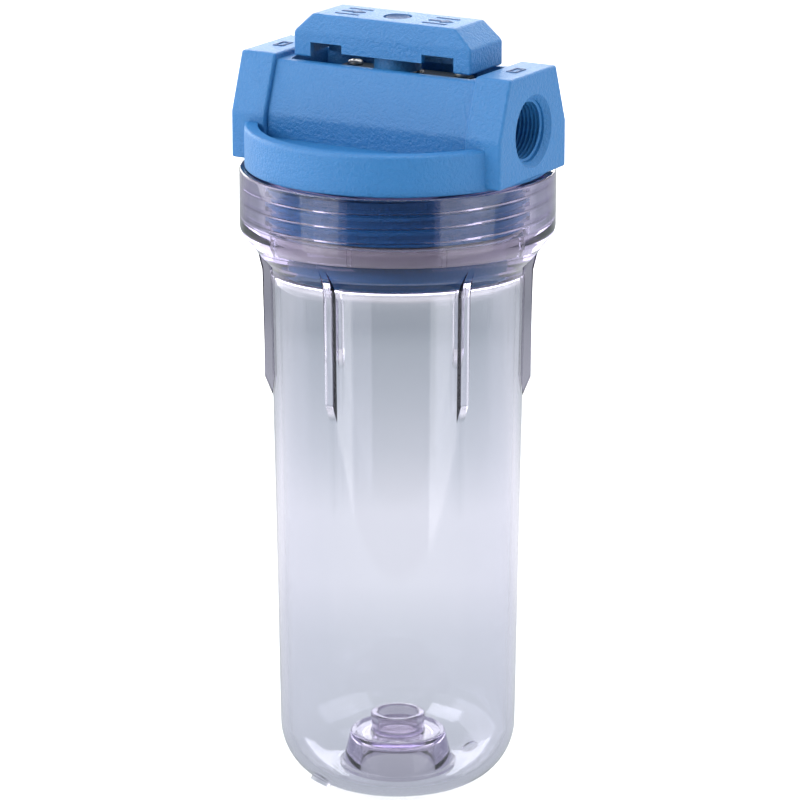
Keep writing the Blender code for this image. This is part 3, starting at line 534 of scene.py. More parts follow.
class Value:
    """A shader socket whose Python operators add Math nodes."""

    def __init__(self, shader: "Shader", socket: bpy.types.NodeSocket) -> None:
        """Wraps a socket.

        Args:
            shader: The shader that it belongs to.
            socket: The socket.
        """
        self.shader = shader
        self.socket = socket

    def _maths(self, operation: str, first: "Value | float", second: "Value | float") -> "Value":
        """Adds a Math node on two numbers or sockets."""
        made = self.shader.node("Math", {"operation": operation}, {0: first, 1: second})
        return Value(self.shader, made.outputs[0])

    def __add__(self, other: "Value | float") -> "Value":
        """Adds."""
        return self._maths("ADD", self, other)

    __radd__ = __add__

    def __sub__(self, other: "Value | float") -> "Value":
        """Subtracts from this."""
        return self._maths("SUBTRACT", self, other)

    def __rsub__(self, other: "Value | float") -> "Value":
        """Subtracts this from a number."""
        return self._maths("SUBTRACT", other, self)

    def __mul__(self, other: "Value | float") -> "Value":
        """Multiplies."""
        return self._maths("MULTIPLY", self, other)

    __rmul__ = __mul__

    def __gt__(self, other: "Value | float") -> "Value":
        """Gives 1 where this is greater, and 0 elsewhere."""
        return self._maths("GREATER_THAN", self, other)


class Shader:
    """A Principled material, built node by node on Object coordinates."""

    def __init__(self, name: str) -> None:
        """Starts a material.

        Args:
            name: The material's name.
        """
        self.material = bpy.data.materials.new(name)
        self.material.use_nodes = True
        self.tree = self.material.node_tree
        self.surface = self.tree.nodes["Principled BSDF"]
        self.place = self.node("TexCoord").outputs["Object"]

    def node(
        self, kind: str, settings: dict[str, Any] | None = None, sockets: dict[str | int, Any] | None = None
    ) -> bpy.types.Node:
        """Adds a node.

        Args:
            kind: The node's type without the ShaderNode prefix.
            settings: The node's own settings, which are set first.
            sockets: Values or links of its sockets, by name or number.

        Returns:
            The node.
        """
        made = self.tree.nodes.new("ShaderNode" + kind)
        for key, value in (settings or {}).items():
            setattr(made, key, value)
        for key, value in (sockets or {}).items():
            self.feed(made.inputs[key], value)
        return made

    def feed(self, socket: bpy.types.NodeSocket, value: Any) -> None:
        """Links a value to a socket, or sets a plain number or colour on it.

        Args:
            socket: The socket.
            value: A Value, another socket, or a plain value.
        """
        if isinstance(value, Value):
            self.tree.links.new(value.socket, socket)
        elif isinstance(value, bpy.types.NodeSocket):
            self.tree.links.new(value, socket)
        else:
            socket.default_value = value

    def set(self, **values: Any) -> None:
        """Sets the Principled shader's sockets, by name with _ for a space."""
        for key, value in values.items():
            self.feed(self.surface.inputs[key.replace("_", " ")], value)

    def noise(self, per_mm: float, detail: float = 3.0, stretch: Sequence[float] = (1, 1, 1)) -> Value:
        """Adds a Noise texture.

        Args:
            per_mm: How many lumps it has in a millimetre.
            detail: Its octaves.
            stretch: Its scale along each axis.

        Returns:
            Its height, from 0 to 1.
        """
        mapped = self.node("Mapping", None, {"Vector": self.place, "Scale": tuple(stretch)})
        made = self.node("TexNoise", None, {
            "Vector": mapped.outputs[0], "Scale": per_mm / MM, "Detail": detail, "Roughness": 0.55,
        })
        return Value(self, made.outputs["Fac"])

    def blend(self, factor: Value, low: Sequence[float], high: Sequence[float]) -> bpy.types.NodeSocket:
        """Mixes two colours.

        Args:
            factor: How much of the second there is.
            low: The first colour.
            high: The second colour.

        Returns:
            The mixed colour.
        """
        made = self.node("Mix", {"data_type": "RGBA"}, {0: factor, 6: (*low, 1.0), 7: (*high, 1.0)})
        return made.outputs[2]

    def bump(self, height: Value, depth: float, strength: float) -> None:
        """Feeds a Bump node to the surface's Normal.

        Args:
            height: The height, from 0 to 1.
            depth: The relief's depth in millimetres.
            strength: How much of it shows.
        """
        made = self.node("Bump", None, {"Height": height, "Distance": depth * MM, "Strength": strength})
        self.set(Normal=made.outputs[0])


@dataclass(frozen=True)
class GrainedPlastic:
    """Opaque moulded plastic with a fine grain.

    Attributes:
        name: The material's name.
        colour: Its main colour.
        pale: The colour of its paler patches.
        rough: Its least roughness.
        grain: Lumps of grain in a millimetre.
        depth: The grain's depth in millimetres.
        strength: How much of the grain shows.
    """

    name: str
    colour: tuple[float, float, float]
    pale: tuple[float, float, float]
    rough: float = 0.36
    grain: float = 0.8
    depth: float = 0.6
    strength: float = 0.8

    def build(self) -> bpy.types.Material:
        """Builds the material."""
        made = Shader(self.name)
        patches = made.noise(0.02, 2.0)
        grain = made.noise(self.grain, 3.0)
        made.set(
            Base_Color=made.blend(patches * 0.3 + grain * 0.7, self.colour, self.pale),
            Roughness=self.rough + grain * 0.12, Specular_IOR_Level=0.5,
        )
        made.bump(grain + made.noise(self.grain * 3, 2.0) * 0.4, self.depth, self.strength)
        return made.material


@dataclass(frozen=True)
class ClearPlastic:
    """Clear moulded plastic with a faint mauve tint that deepens with its thickness.

    Attributes:
        name: The material's name.
        colour: Its tint for light that goes through one surface.
        cloudy: The tint of its cloudier patches.
        body: The colour that its thickness lets through.
        density: How much of the light it takes in a metre.
        rough: Its least roughness.
        index: Its index of refraction.
    """

    name: str
    colour: tuple[float, float, float]
    cloudy: tuple[float, float, float]
    body: tuple[float, float, float] = (0.40, 0.30, 0.60)
    density: float = 42.0
    rough: float = 0.02
    index: float = 1.5

    def build(self) -> bpy.types.Material:
        """Builds the material."""
        made = Shader(self.name)
        patches = made.noise(0.015, 2.0, (1, 1, 0.5))
        made.set(
            Base_Color=made.blend(patches, self.colour, self.cloudy), Roughness=self.rough + patches * 0.03,
            Transmission_Weight=1.0, IOR=self.index,
        )
        made.bump(made.noise(0.05, 1.0, (1, 1, 0.3)), 0.15, 0.12)
        inside = made.node("VolumeAbsorption", None, {"Color": (*self.body, 1.0), "Density": self.density})
        made.feed(made.tree.nodes["Material Output"].inputs["Volume"], inside.outputs[0])
        return made.material


@dataclass(frozen=True)
class Rubber:
    """Moulded rubber or silicone."""

    name: str = "rubber"
    colour: tuple[float, float, float] = (0.016, 0.016, 0.018)
    dusty: tuple[float, float, float] = (0.035, 0.035, 0.038)

    def build(self) -> bpy.types.Material:
        """Builds the material."""
        made = Shader(self.name)
        dust = made.noise(0.3, 4.0)
        made.set(
            Base_Color=made.blend(dust, self.colour, self.dusty), Roughness=0.6 + dust * 0.2
        )
        made.bump(dust, 0.05, 0.3)
        return made.material


@dataclass(frozen=True)
class Steel:
    """Stainless steel with fine turning marks."""

    name: str = "stainless"

    def build(self) -> bpy.types.Material:
        """Builds the material."""
        made = Shader(self.name)
        marks = made.noise(2.0, 3.0, (1, 1, 6))
        made.set(
            Base_Color=made.blend(marks, (0.56, 0.56, 0.55), (0.72, 0.72, 0.70)), Metallic=1.0,
            Roughness=0.22 + marks * 0.2,
        )
        made.bump(marks, 0.02, 0.3)
        return made.material


@dataclass(frozen=True)
class Paper:
    """The studio's pale floor."""

    name: str = "studio_paper"
    pale: float = 0.90

    def build(self) -> bpy.types.Material:
        """Builds the material."""
        made = Shader(self.name)
        fibre = made.noise(0.05, 2.0)
        low, high = (self.pale,) * 3, (self.pale + 0.01,) * 3
        made.set(Base_Color=made.blend(fibre, low, high), Roughness=0.9, Specular_IOR_Level=0.1)
        return made.material


BLUE = GrainedPlastic("blue_plastic", (0.008, 0.125, 0.35), (0.024, 0.175, 0.43)).build()
# MARK's darker blue is painted shade on the raised marks, standing for the shade in sunken lettering; the
# screw cap is dressed in it too.
MARK = GrainedPlastic("mark_blue", (0.010, 0.055, 0.17), (0.016, 0.075, 0.21), rough=0.5).build()
NATURAL = GrainedPlastic(
    "natural_plastic", (0.62, 0.60, 0.54), (0.70, 0.68, 0.62), rough=0.45, strength=0.2
).build()
DARK = GrainedPlastic("valve_plastic", (0.012, 0.035, 0.060), (0.020, 0.050, 0.080), rough=0.4).build()
CLEAR = ClearPlastic("clear_plastic", (0.93, 0.95, 0.96), (0.95, 0.96, 0.97)).build()
# The ribs' sides and the cartridge seat wear darker tints than the plastic's thickness gives: painted shade,
# standing in for the dark that refraction brings there.
FLANK_PAINTED_SHADE = ClearPlastic("clear_rib_flank", (0.58, 0.55, 0.61), (0.64, 0.61, 0.67)).build()
SEAT_PAINTED_SHADE = ClearPlastic("clear_seat", (0.74, 0.71, 0.75), (0.78, 0.75, 0.79)).build()
RUBBER = Rubber().build()
SILICONE = Rubber("grey_silicone", (0.46, 0.42, 0.44), (0.52, 0.48, 0.50)).build()
STEEL = Steel().build()


# Pieces

def finish_piece(
    thing: bpy.types.Object, look: bpy.types.Material, body: str, nodes: Sequence[str] = (),
    smooth: float = 35.0,
) -> bpy.types.Object:
    """Turns a millimetre solid into a finished piece in metres that rides on a body.

    Args:
        thing: The solid.
        look: Its material.
        body: The body that it moves with.
        nodes: The frame's nodes that it stands for.
        smooth: Edges with a smaller angle than this, in degrees, are shaded smooth.

    Returns:
        The piece.
    """
    work = bmesh.new()
    work.from_mesh(thing.data)
    bmesh.ops.remove_doubles(work, verts=work.verts, dist=MERGE)
    bmesh.ops.dissolve_degenerate(work, edges=work.edges, dist=MERGE)
    bmesh.ops.triangulate(work, faces=[f for f in work.faces if len(f.verts) > 4])
    work.to_mesh(thing.data)
    work.free()
    thing.data.transform(Matrix.Scale(MM, 4))
    thing.data.name = thing.name
    thing.data.materials.clear()
    thing.data.materials.append(look)
    thing.data.shade_smooth()
    thing.data.set_sharp_from_angle(angle=math.radians(smooth))
    evened = thing.modifiers.new("even_shading", "WEIGHTED_NORMAL")
    evened.keep_sharp = True
    plain_mesh(thing)
    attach(thing, body)
    if nodes:
        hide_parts(*nodes)
    return thing


def levels(node: str) -> tuple[float, float]:
    """Gives a frame node's lowest and highest height in millimetres."""
    low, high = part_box(node)
    return low.z / MM, high.z / MM


def radius_of(node: str) -> float:
    """Gives a round frame node's radius in millimetres."""
    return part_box(node)[1].x / MM


@dataclass
class Sump:
    """The clear screw-on bowl, moulded in one with its ribs, thread and cartridge seat."""

    collar: float = field(default_factory=lambda: radius_of("sump"))
    top: float = field(default_factory=lambda: levels("sump")[1])
    collar_height: float = 23.6
    collar_wall: float = COLLAR_WALL
    edge: float = 0.9
    shoulder: float = 6.0
    lean: float = 52.0
    neck_step: float = 12.4
    fillet: float = 12.0
    draft: float = 3.1
    wall: float = 3.6
    floor: float = 4.0
    ledge_depth: float = 22.8
    nose_length: float = 11.9
    ring_setback: float = RING_SETBACK
    groove: Point = GROOVE
    groove_lip: float = GROOVE_LIP
    seat: float = 20.8
    seat_top: float = 20.0
    seat_flange: float = 25.0
    post: float = 11.0
    post_height: float = 7.7
    post_bore: float = 8.2
    core: float = 17.0
    rib_count: int = 6
    rib_thickness: float = 3.8
    rib_proud: float = 2.6
    rib_length: float = 62.0
    rib_taper: float = 8.0
    key_count: int = 9
    thread_lift: float = 1.55
    thread_end: float = 0.8

    def __post_init__(self) -> None:
        """Works out the sizes that follow from the fields."""
        self.bore = self.collar - self.collar_wall
        self.neck = self.collar - self.neck_step
        self.base = self.neck - self.draft
        self.corner = self.base - self.seat_flange + 0.9
        self.ledge = self.top - self.ledge_depth
        self.ring = self.bore - self.ring_setback
        self.throat = self.ring - self.groove[0] / 2 - self.groove_lip
        lean = math.radians(self.lean)
        bottom = self.top - self.collar_height
        self.shoulder_end = (
            self.collar - self.shoulder * (1 - math.sin(lean)), bottom - self.shoulder * math.cos(lean)
        )
        start = self.neck + self.fillet * (1 - math.sin(lean))
        height = self.shoulder_end[1] - (self.shoulder_end[0] - start) * math.tan(lean)
        self.fillet_start = (start, height)
        self.neck_height = height - self.fillet * math.cos(lean)

    def radius_at(self, height: float) -> float:
        """Gives the body's outer radius at a height, between the corner and the neck."""
        return self.base + self.draft * (height - self.corner) / (self.neck_height - self.corner)

    def outside(self) -> Profile:
        """Gives the outer outline, from the collar's top edge down to the axis."""
        outline = arc((self.collar - self.edge, self.top - self.edge), self.edge, 90, 0, 4)
        middle = (self.collar - self.shoulder, self.top - self.collar_height)
        outline += arc(middle, self.shoulder, 0, self.lean - 90, 8)
        outline += arc((self.neck + self.fillet, self.neck_height), self.fillet, 90 + self.lean, 180, 10)
        outline += arc((self.base - self.corner, self.corner), self.corner, 0, -90, 28)
        return outline + [(self.core + 1.0, 0.0)] + self.hollow()

    def hollow(self) -> Profile:
        """Gives the hollow under the seat, which keeps the moulding's wall even."""
        roof = self.seat - self.floor
        outline = arc((self.core + 1.0, 1.0), 1.0, -90, -180, 3)
        outline += arc((self.core - 3.5, roof - 2.0), 2.0, 0, 90, 5)
        return outline + [(0.0, roof)]

    def inside(self) -> Profile:
        """Gives the inner outline, from the seat's middle up to the collar's top edge."""
        top = self.seat + self.post_height
        wide, deep = self.groove
        outline = [(0.0, self.seat)] + arc((self.post_bore - 1.0, self.seat + 1.0), 1.0, -90, 0, 3)
        outline += arc((self.post_bore + 1.2, top - 1.2), 1.2, 180, 90, 4)
        outline += arc((self.post - 0.7, top - 1.2), 1.2, 90, -40, 6)
        outline += arc((self.post + 1.0, self.seat + 0.2), 1.0, 180, 270, 3)
        outline += arc((self.seat_top - 2.0, self.seat - 0.8), 0.5, 180, 90, 2)
        outline += arc((self.seat_top - 1.0, self.seat - 1.0), 1.0, 90, 20, 4)
        outline += arc((self.seat_flange - 0.3, self.floor + 3.2), 1.5, 200, 262, 3)
        outline += arc((self.seat_flange - 0.5, self.floor + 1.5), 0.5, 90, 0, 3)
        outline += [(self.seat_flange, self.floor + 0.2)]
        outline += arc((self.base - self.corner, self.corner), self.corner - self.wall, -80, 0, 24)
        throat, bore = self.ledge - self.nose_length - 0.5, self.neck - self.wall
        outline += [(bore, throat - 14.0)]
        outline += arc((self.throat + 4.0, throat + 2.0), 4.0, 195, 180, 3)
        outline += arc((self.throat + 0.4, self.ledge - 0.4), 0.4, 180, 90, 2)
        inner, outer = self.ring - wide / 2, self.ring + wide / 2
        outline += [
            (inner, self.ledge), (inner, self.ledge - deep), (outer, self.ledge - deep), (outer, self.ledge)
        ]
        outline += arc((self.bore - 0.6, self.ledge + 0.6), 0.6, -90, 0, 3)
        outline += arc((self.bore + self.edge, self.top - self.edge), self.edge, 180, 90, 4)
        return outline

    def rib(self) -> bpy.types.Object:
        """Builds one wrench rib at +X, with rounded edges."""
        bottom = self.shoulder_end[1] - self.rib_length - self.rib_taper
        reach = self.neck + self.rib_proud
        sunk = self.wall / 2
        foot = self.radius_at(bottom)
        outline = [
            (foot - sunk, bottom - 1.0), (foot - 0.3, bottom - 1.0), (reach, bottom + self.rib_taper),
            (reach, self.neck_height + 2.0), (reach + 1.5, self.fillet_start[1] + 1.0),
            (self.shoulder_end[0] - sunk, self.shoulder_end[1] - sunk),
            (self.fillet_start[0] - sunk, self.fillet_start[1]), (self.neck - sunk, self.neck_height),
        ]
        made = prism("rib", outline, -self.rib_thickness / 2, self.rib_thickness / 2, 0.6)
        return moved(made, Matrix(((1, 0, 0, 0), (0, 0, -1, 0), (0, 1, 0, 0), (0, 0, 0, 1))))

    def key(self) -> bpy.types.Object:
        """Builds one of the small upright keys on the outer wall of the O-ring's groove."""
        outer = self.ring + self.groove[0] / 2 + 0.3
        low, high = self.ledge - self.groove[1] - 0.3, self.ledge + 0.3
        return block("key", (outer - 0.7, -1.0, low), (outer + 0.3, 1.0, high), 0.2)

    def foot(self, angle: float) -> bpy.types.Object:
        """Builds a small round pad on the rounded corner's outside.

        Args:
            angle: Where it stands, in degrees from +X.

        Returns:
            The pad.
        """
        reach = 37.0
        tilt = math.asin((reach - self.base + self.corner) / self.corner)
        middle = self.base - self.corner + (self.corner - 2.0) * math.sin(tilt)
        height = self.corner - (self.corner - 2.0) * math.cos(tilt)
        start = Vector((middle, 0.0, height))
        end = start + 3.2 * Vector((math.sin(tilt), 0.0, -math.cos(tilt)))
        return moved(cone("foot", start, end, 4.6, 4.3, SMALL), Matrix.Rotation(math.radians(angle), 4, "Z"))

    def build(self) -> list[bpy.types.Object]:
        """Builds and dresses the sump and its O-ring."""
        shell = revolve("clear_sump", self.inside() + self.outside())
        ring = ring_pattern(CLEAR)
        parts = []
        for piece, count in ((self.rib(), self.rib_count), (self.key(), self.key_count)):
            step = TAU / count
            first = math.radians(30) if count == self.rib_count else math.radians(-80)
            parts.append(ring.run(
                piece.name + "s", Piece=piece, Count=count, First_Angle=first, Step_Angle=step
            ))
            bpy.data.objects.remove(piece)
        lead = self.ledge + NOSE_STEP_GAP + THREAD_START - THREAD_SET + THREAD_PITCH / 2
        bottom, top = self.ledge + self.thread_lift, self.top - self.thread_end
        thread = Thread(self.bore, Way.IN, lead, bottom, top, *THREAD_FORM)
        boolean(shell, Operation.JOIN, [*parts, thread.build("female"), self.foot(60.0), self.foot(240.0)])
        finish_piece(shell, CLEAR, "sump", ["sump"])
        # Paints shade on the ribs' sides and the seat.
        self.deepen(shell)
        shell.visible_shadow = False
        return [shell, self.oring()]

    def deepen(self, shell: bpy.types.Object) -> None:
        """Gives the ribs' sides and the seat darker tints, which are painted shade: they stand in for the
        dark that refraction through the clear plastic brings there.

        Args:
            shell: The finished sump.
        """
        for look in (FLANK_PAINTED_SHADE, SEAT_PAINTED_SHADE):
            shell.data.materials.append(look)
        top = self.fillet_start[1] * MM
        for face in shell.data.polygons:
            x, y, z = face.center
            nearest = round((math.degrees(math.atan2(y, x)) - 30) * self.rib_count / 360)
            angle = math.radians(30 + nearest * 360 / self.rib_count)
            across = abs(face.normal.y * math.cos(angle) - face.normal.x * math.sin(angle))
            reach = math.hypot(x, y) / MM
            # Faces across a rib's sides take the rib-side painted shade, and faces of the seat take the
            # seat's painted shade.
            if across > 0.95 and z < top and reach > self.neck - 2.0:
                face.material_index = 1
            elif reach < self.seat_flange + 1.2 and z < (self.seat + self.post_height + 1.0) * MM:
                face.material_index = 2

    def oring(self) -> bpy.types.Object:
        """Builds the sump's O-ring with its moulding flash line."""
        low, high = levels("sump_oring")
        radius = (high - low) / 2
        middle = (self.ring, (low + high) / 2)
        section = arc(middle, radius, 0, -350, 23)
        section[0] = (section[0][0] + 0.05, section[0][1])
        made = revolve("sump_o_ring", section)
        return finish_piece(made, SILICONE, "sump_seal", ["sump_oring"], 60.0)


@dataclass
class Head:
    """The blue head moulding: port blocks, valve core, skirt and threaded nose."""

    top: float = field(default_factory=lambda: levels("head_body")[1])
    half_length: float = field(default_factory=lambda: radius_of("head_body"))
    nose_bottom: float = field(default_factory=lambda: levels("head_body")[0])
    collar: float = field(default_factory=lambda: radius_of("sump"))
    block_thickness: float = 16.4
    block_rise: float = 23.9
    block_lift: float = 1.0
    half_depth: float = 27.4
    top_half_depth: float = 18.9
    core_drop: float = 2.4
    core_setback: float = 2.0
    port_height: float = 20.5
    skirt_setback: float = 2.2
    skirt_height: float = 16.9
    skirt_wall: float = 5.8
    moat_depth: float = 5.9
    ledge_rise: float = 11.9
    nose_wall: float = 4.0
    gallery: float = 38.0
    chamber: float = 12.0
    chamber_drop: float = 7.5
    chamber_base: float = 6.0
    well_rise: float = 13.5
    well_shoulder: float = 2.4
    well_wall: float = 3.5
    port_radius: float = 12.9
    port_depth: float = 19.0
    mouth: float = 15.2
    mouth_depth: float = 2.2
    passage: float = 5.0
    port_pitch: float = 1.814
    edge: float = 1.1
    rim: float = 1.7

    def __post_init__(self) -> None:
        """Works out the sizes that follow from the fields."""
        self.port = self.top - self.block_rise
        self.skirt_bottom = self.port - self.port_height
        self.skirt_top = self.skirt_bottom + self.skirt_height
        self.skirt = self.collar - self.skirt_setback
        self.core_top = self.top - self.core_drop
        self.block_inner = self.half_length - self.block_thickness
        self.well_floor = self.port + self.well_rise
        self.nose_step = self.nose_bottom + self.ledge_rise + NOSE_STEP_GAP
        self.nose = self.collar - COLLAR_WALL - THREAD_GAP - THREAD_HEIGHT
        self.spigot = self.collar - COLLAR_WALL - RING_SETBACK - GROOVE[0] / 2 - GROOVE_LIP - THREAD_GAP
        self.slope = (self.half_depth - self.top_half_depth) / self.block_rise

    def base(self) -> bpy.types.Object:
        """Builds the round part: skirt, moat, threaded nose and spigot."""
        rim, inner = self.rim, self.skirt - self.skirt_wall
        moat = self.skirt_top - self.moat_depth
        bore = self.spigot - self.nose_wall
        ceiling = self.port - self.chamber_drop - self.chamber_base
        profile = [(0.0, moat)] + arc((inner - 1.0, moat + 1.0), 1.0, -90, 0, 3)
        profile += arc((inner + 0.6, self.skirt_top - 0.6), 0.6, 180, 90, 3)
        profile += arc((self.skirt - rim, self.skirt_top - rim), rim, 90, 0, 6)
        profile += arc((self.skirt - 0.5, self.skirt_bottom + 0.5), 0.5, 0, -90, 3)
        profile += [(self.nose, self.skirt_bottom)]
        profile += arc((self.nose - 0.8, self.nose_step + 0.8), 0.8, 0, -90, 3)
        profile += [(self.spigot, self.nose_step)]
        profile += arc((self.spigot - 0.8, self.nose_bottom + 0.8), 0.8, 0, -90, 3)
        profile += arc((bore + 0.5, self.nose_bottom + 0.5), 0.5, 270, 180, 3)
        profile += [(bore, self.skirt_bottom - 3.0), (self.gallery, self.skirt_bottom - 3.0)]
        profile += [(self.gallery, ceiling), (0.0, ceiling)]
        return revolve("head", profile)

    def depth_at(self, height: float) -> float:
        """Gives the core's half depth at a height above the port's axis."""
        return self.half_depth - self.core_setback - self.slope * (height - self.port)

    def port_block(self, side: int) -> bpy.types.Object:
        """Builds one port block, with its house-shaped end face.

        Args:
            side: -1 for the inlet, 1 for the outlet.

        Returns:
            The block.
        """
        low = self.skirt_bottom + self.block_lift
        wide, narrow = self.half_depth, self.top_half_depth
        outline = [
            (-wide, low), (wide, low), (wide, self.port),
            (narrow, self.top), (-narrow, self.top), (-wide, self.port),
        ]
        ends = sorted((side * self.block_inner, side * self.half_length))
        return moved(prism("port_block", outline, *ends, self.edge), along_x())

    def core(self) -> bpy.types.Object:
        """Builds the part between the port blocks."""
        low = self.skirt_top - self.moat_depth - 2.0
        wide, narrow = self.depth_at(self.port), self.depth_at(self.core_top)
        outline = [
            (-wide, low), (wide, low), (wide, self.port), (narrow, self.core_top), (-narrow, self.core_top),
            (-wide, self.port),
        ]
        reach = self.block_inner + 3.0
        return moved(prism("core", outline, -reach, reach, self.edge), along_x())

    def well(self) -> bpy.types.Object:
        """Builds the cutter of the open recess under the handle."""
        width = self.depth_at(self.core_top) - self.well_wall
        radius = self.block_inner - self.well_shoulder
        start = math.degrees(math.asin(width / radius))
        outline = arc((0.0, 0.0), radius, -start, start, 16)
        outline += [(-x, -y) for x, y in outline]
        return prism("well", outline, self.well_floor, self.top + 4.0)

    def port_cutters(self, side: int) -> list[bpy.types.Object]:
        """Builds the cutters of one port: mouth, socket and passage.

        Args:
            side: -1 for the inlet, 1 for the outlet.

        Returns:
            The cutters.
        """
        def at(x: float) -> tuple[float, float, float]:
            return (side * x, 0.0, self.port)

        face, end = self.half_length, self.half_length - self.port_depth
        return [
            cone("socket", at(face + 1.0), at(end), self.port_radius, self.port_radius - 0.5),
            cone("drill_point", at(end + 0.01), at(end - 2.0), self.port_radius - 1.0, self.passage),
            cone("mouth", at(face + 1.0), at(face - self.mouth_depth), self.mouth + 0.7, self.port_radius),
            cone("passage", at(face), at(0.5), self.passage),
        ]

    def port_thread(self, side: int) -> bpy.types.Object:
        """Builds the pipe thread in one port, as a ridge on the socket's wall.

        Args:
            side: -1 for the inlet, 1 for the outlet.

        Returns:
            The ridge.
        """
        ridge = Thread(
            self.port_radius - 0.25, Way.IN, 2.0, 2.0,
            self.port_depth - self.mouth_depth, self.port_pitch, 0.95,
            1.5, 0.4, FINE, 0.1, 0.75,
        )
        turn = Matrix.Rotation(side * math.pi / 2, 4, "Y")
        end = side * (self.half_length - self.port_depth)
        return moved(ridge.build("pipe_thread"), Matrix.Translation((end, 0.0, self.port)) @ turn)

    def build(self) -> list[bpy.types.Object]:
        """Builds and dresses the head."""
        head = self.base()
        sides = (-1, 1)
        start = self.nose_step + THREAD_START
        top = self.skirt_bottom - THREAD_ROOT / 2
        thread = Thread(self.nose, Way.OUT, start - THREAD_SET, start, top, *THREAD_FORM)
        boolean(head, Operation.JOIN, [thread.build("male"), self.core(), *map(self.port_block, sides)])
        floor = self.port - self.chamber_drop
        chamber = cone("chamber", (0, 0, floor), (0, 0, self.well_floor + 1.0), self.chamber)
        cutters = [cutter for side in sides for cutter in self.port_cutters(side)]
        boolean(head, Operation.CUT, [self.well(), chamber, *cutters])
        boolean(head, Operation.JOIN, map(self.port_thread, sides))
        return [finish_piece(head, BLUE, "head", ["head_body"]), self.marks()]

    def marks(self) -> bpy.types.Object:
        """Builds a plain raised frame on each port block's top, in a dark blue that is painted shade of
        sunken lettering.
        """
        frames = []
        for side in (-1, 1):
            x = side * (self.half_length - self.block_thickness / 2)
            frame_bar = block(
                "port_marks", (x - 2.4, -4.2, self.top - 0.3), (x + 2.4, 4.2, self.top + 0.3), 0.15
            )
            hole = block("hole", (x - 1.3, -3.1, self.top - 1.0), (x + 1.3, 3.1, self.top + 1.0))
            boolean(frame_bar, Operation.CUT, [hole])
            frames.append(frame_bar)
        boolean(frames[0], Operation.JOIN, frames[1:])
        return finish_piece(frames[0], MARK, "head")


@dataclass
class Screws:
    """The stainless screws of the bonnet and of the flow divider, with threads and cross recesses."""

    head: float = 3.1
    head_height: float = 1.9
    shank: float = 1.6
    thread_height: float = 0.35
    pitch: float = 1.3
    recess: float = 0.8
    ring: float = 27.0

    def screw(self, length: float) -> bpy.types.Object:
        """Builds one screw, its head's underside at 0 and its shank down.

        Args:
            length: The shank's length.

        Returns:
            The screw.
        """
        core, reach, half = self.shank - self.thread_height, self.head * 0.62, self.recess / 2
        turns = [math.pi * i / 16 for i in range(9)]
        profile = [(self.head * math.sin(t), self.head_height * (0.45 + 0.55 * math.cos(t))) for t in turns]
        profile += [(self.head, 0.2), (self.head - 0.2, 0.0), (core, 0.0), (core, core - length)]
        profile += [(core * 0.3, -length), (0.0, -length)]
        made = revolve("screw", profile, SMALL)
        bottom, top = -length + core + 0.7, -0.8
        ridge = Thread(
            core, Way.OUT, 0.0, bottom, top, self.pitch, self.thread_height, 1.0, 0.25, SMALL, 0.2, 0.3
        )
        boolean(made, Operation.JOIN, [ridge.build("ridge")])
        low, high = self.head_height - 1.1, self.head_height + 1.0
        bars = [block("bar", (-a, -b, low), (a, b, high)) for a, b in ((reach, half), (half, reach))]
        return boolean(made, Operation.CUT, bars)

    def build(self) -> list[bpy.types.Object]:
        """Builds and dresses both sets of screws."""
        low, high = (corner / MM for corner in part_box("bonnet_screw_1"))
        piece = self.screw(high.z - low.z - self.head_height)
        bonnet = corner_pattern(STEEL).run(
            "bonnet_screws", Piece=piece, Length=abs(low.x + high.x), Width=abs(low.y + high.y),
            Height=high.z - self.head_height,
        )
        bottom, top = levels("divider_screw_1")
        upward = self.screw(top - bottom - self.head_height)
        place = Matrix.Translation((self.ring, 0, bottom + self.head_height))
        moved(upward, place @ Matrix.Rotation(math.pi, 4, "X"))
        divider = ring_pattern(STEEL).run(
            "divider_screws", Piece=upward, Count=3, First_Angle=TAU / 12, Step_Angle=TAU / 3
        )
        for used in (piece, upward):
            bpy.data.objects.remove(used)
        made = []
        for screws, node, count in ((bonnet, "bonnet_screw", 4), (divider, "divider_screw", 3)):
            nodes = [f"{node}_{number}" for number in range(1, count + 1)]
            made.append(finish_piece(screws, STEEL, "head", nodes))
        return made


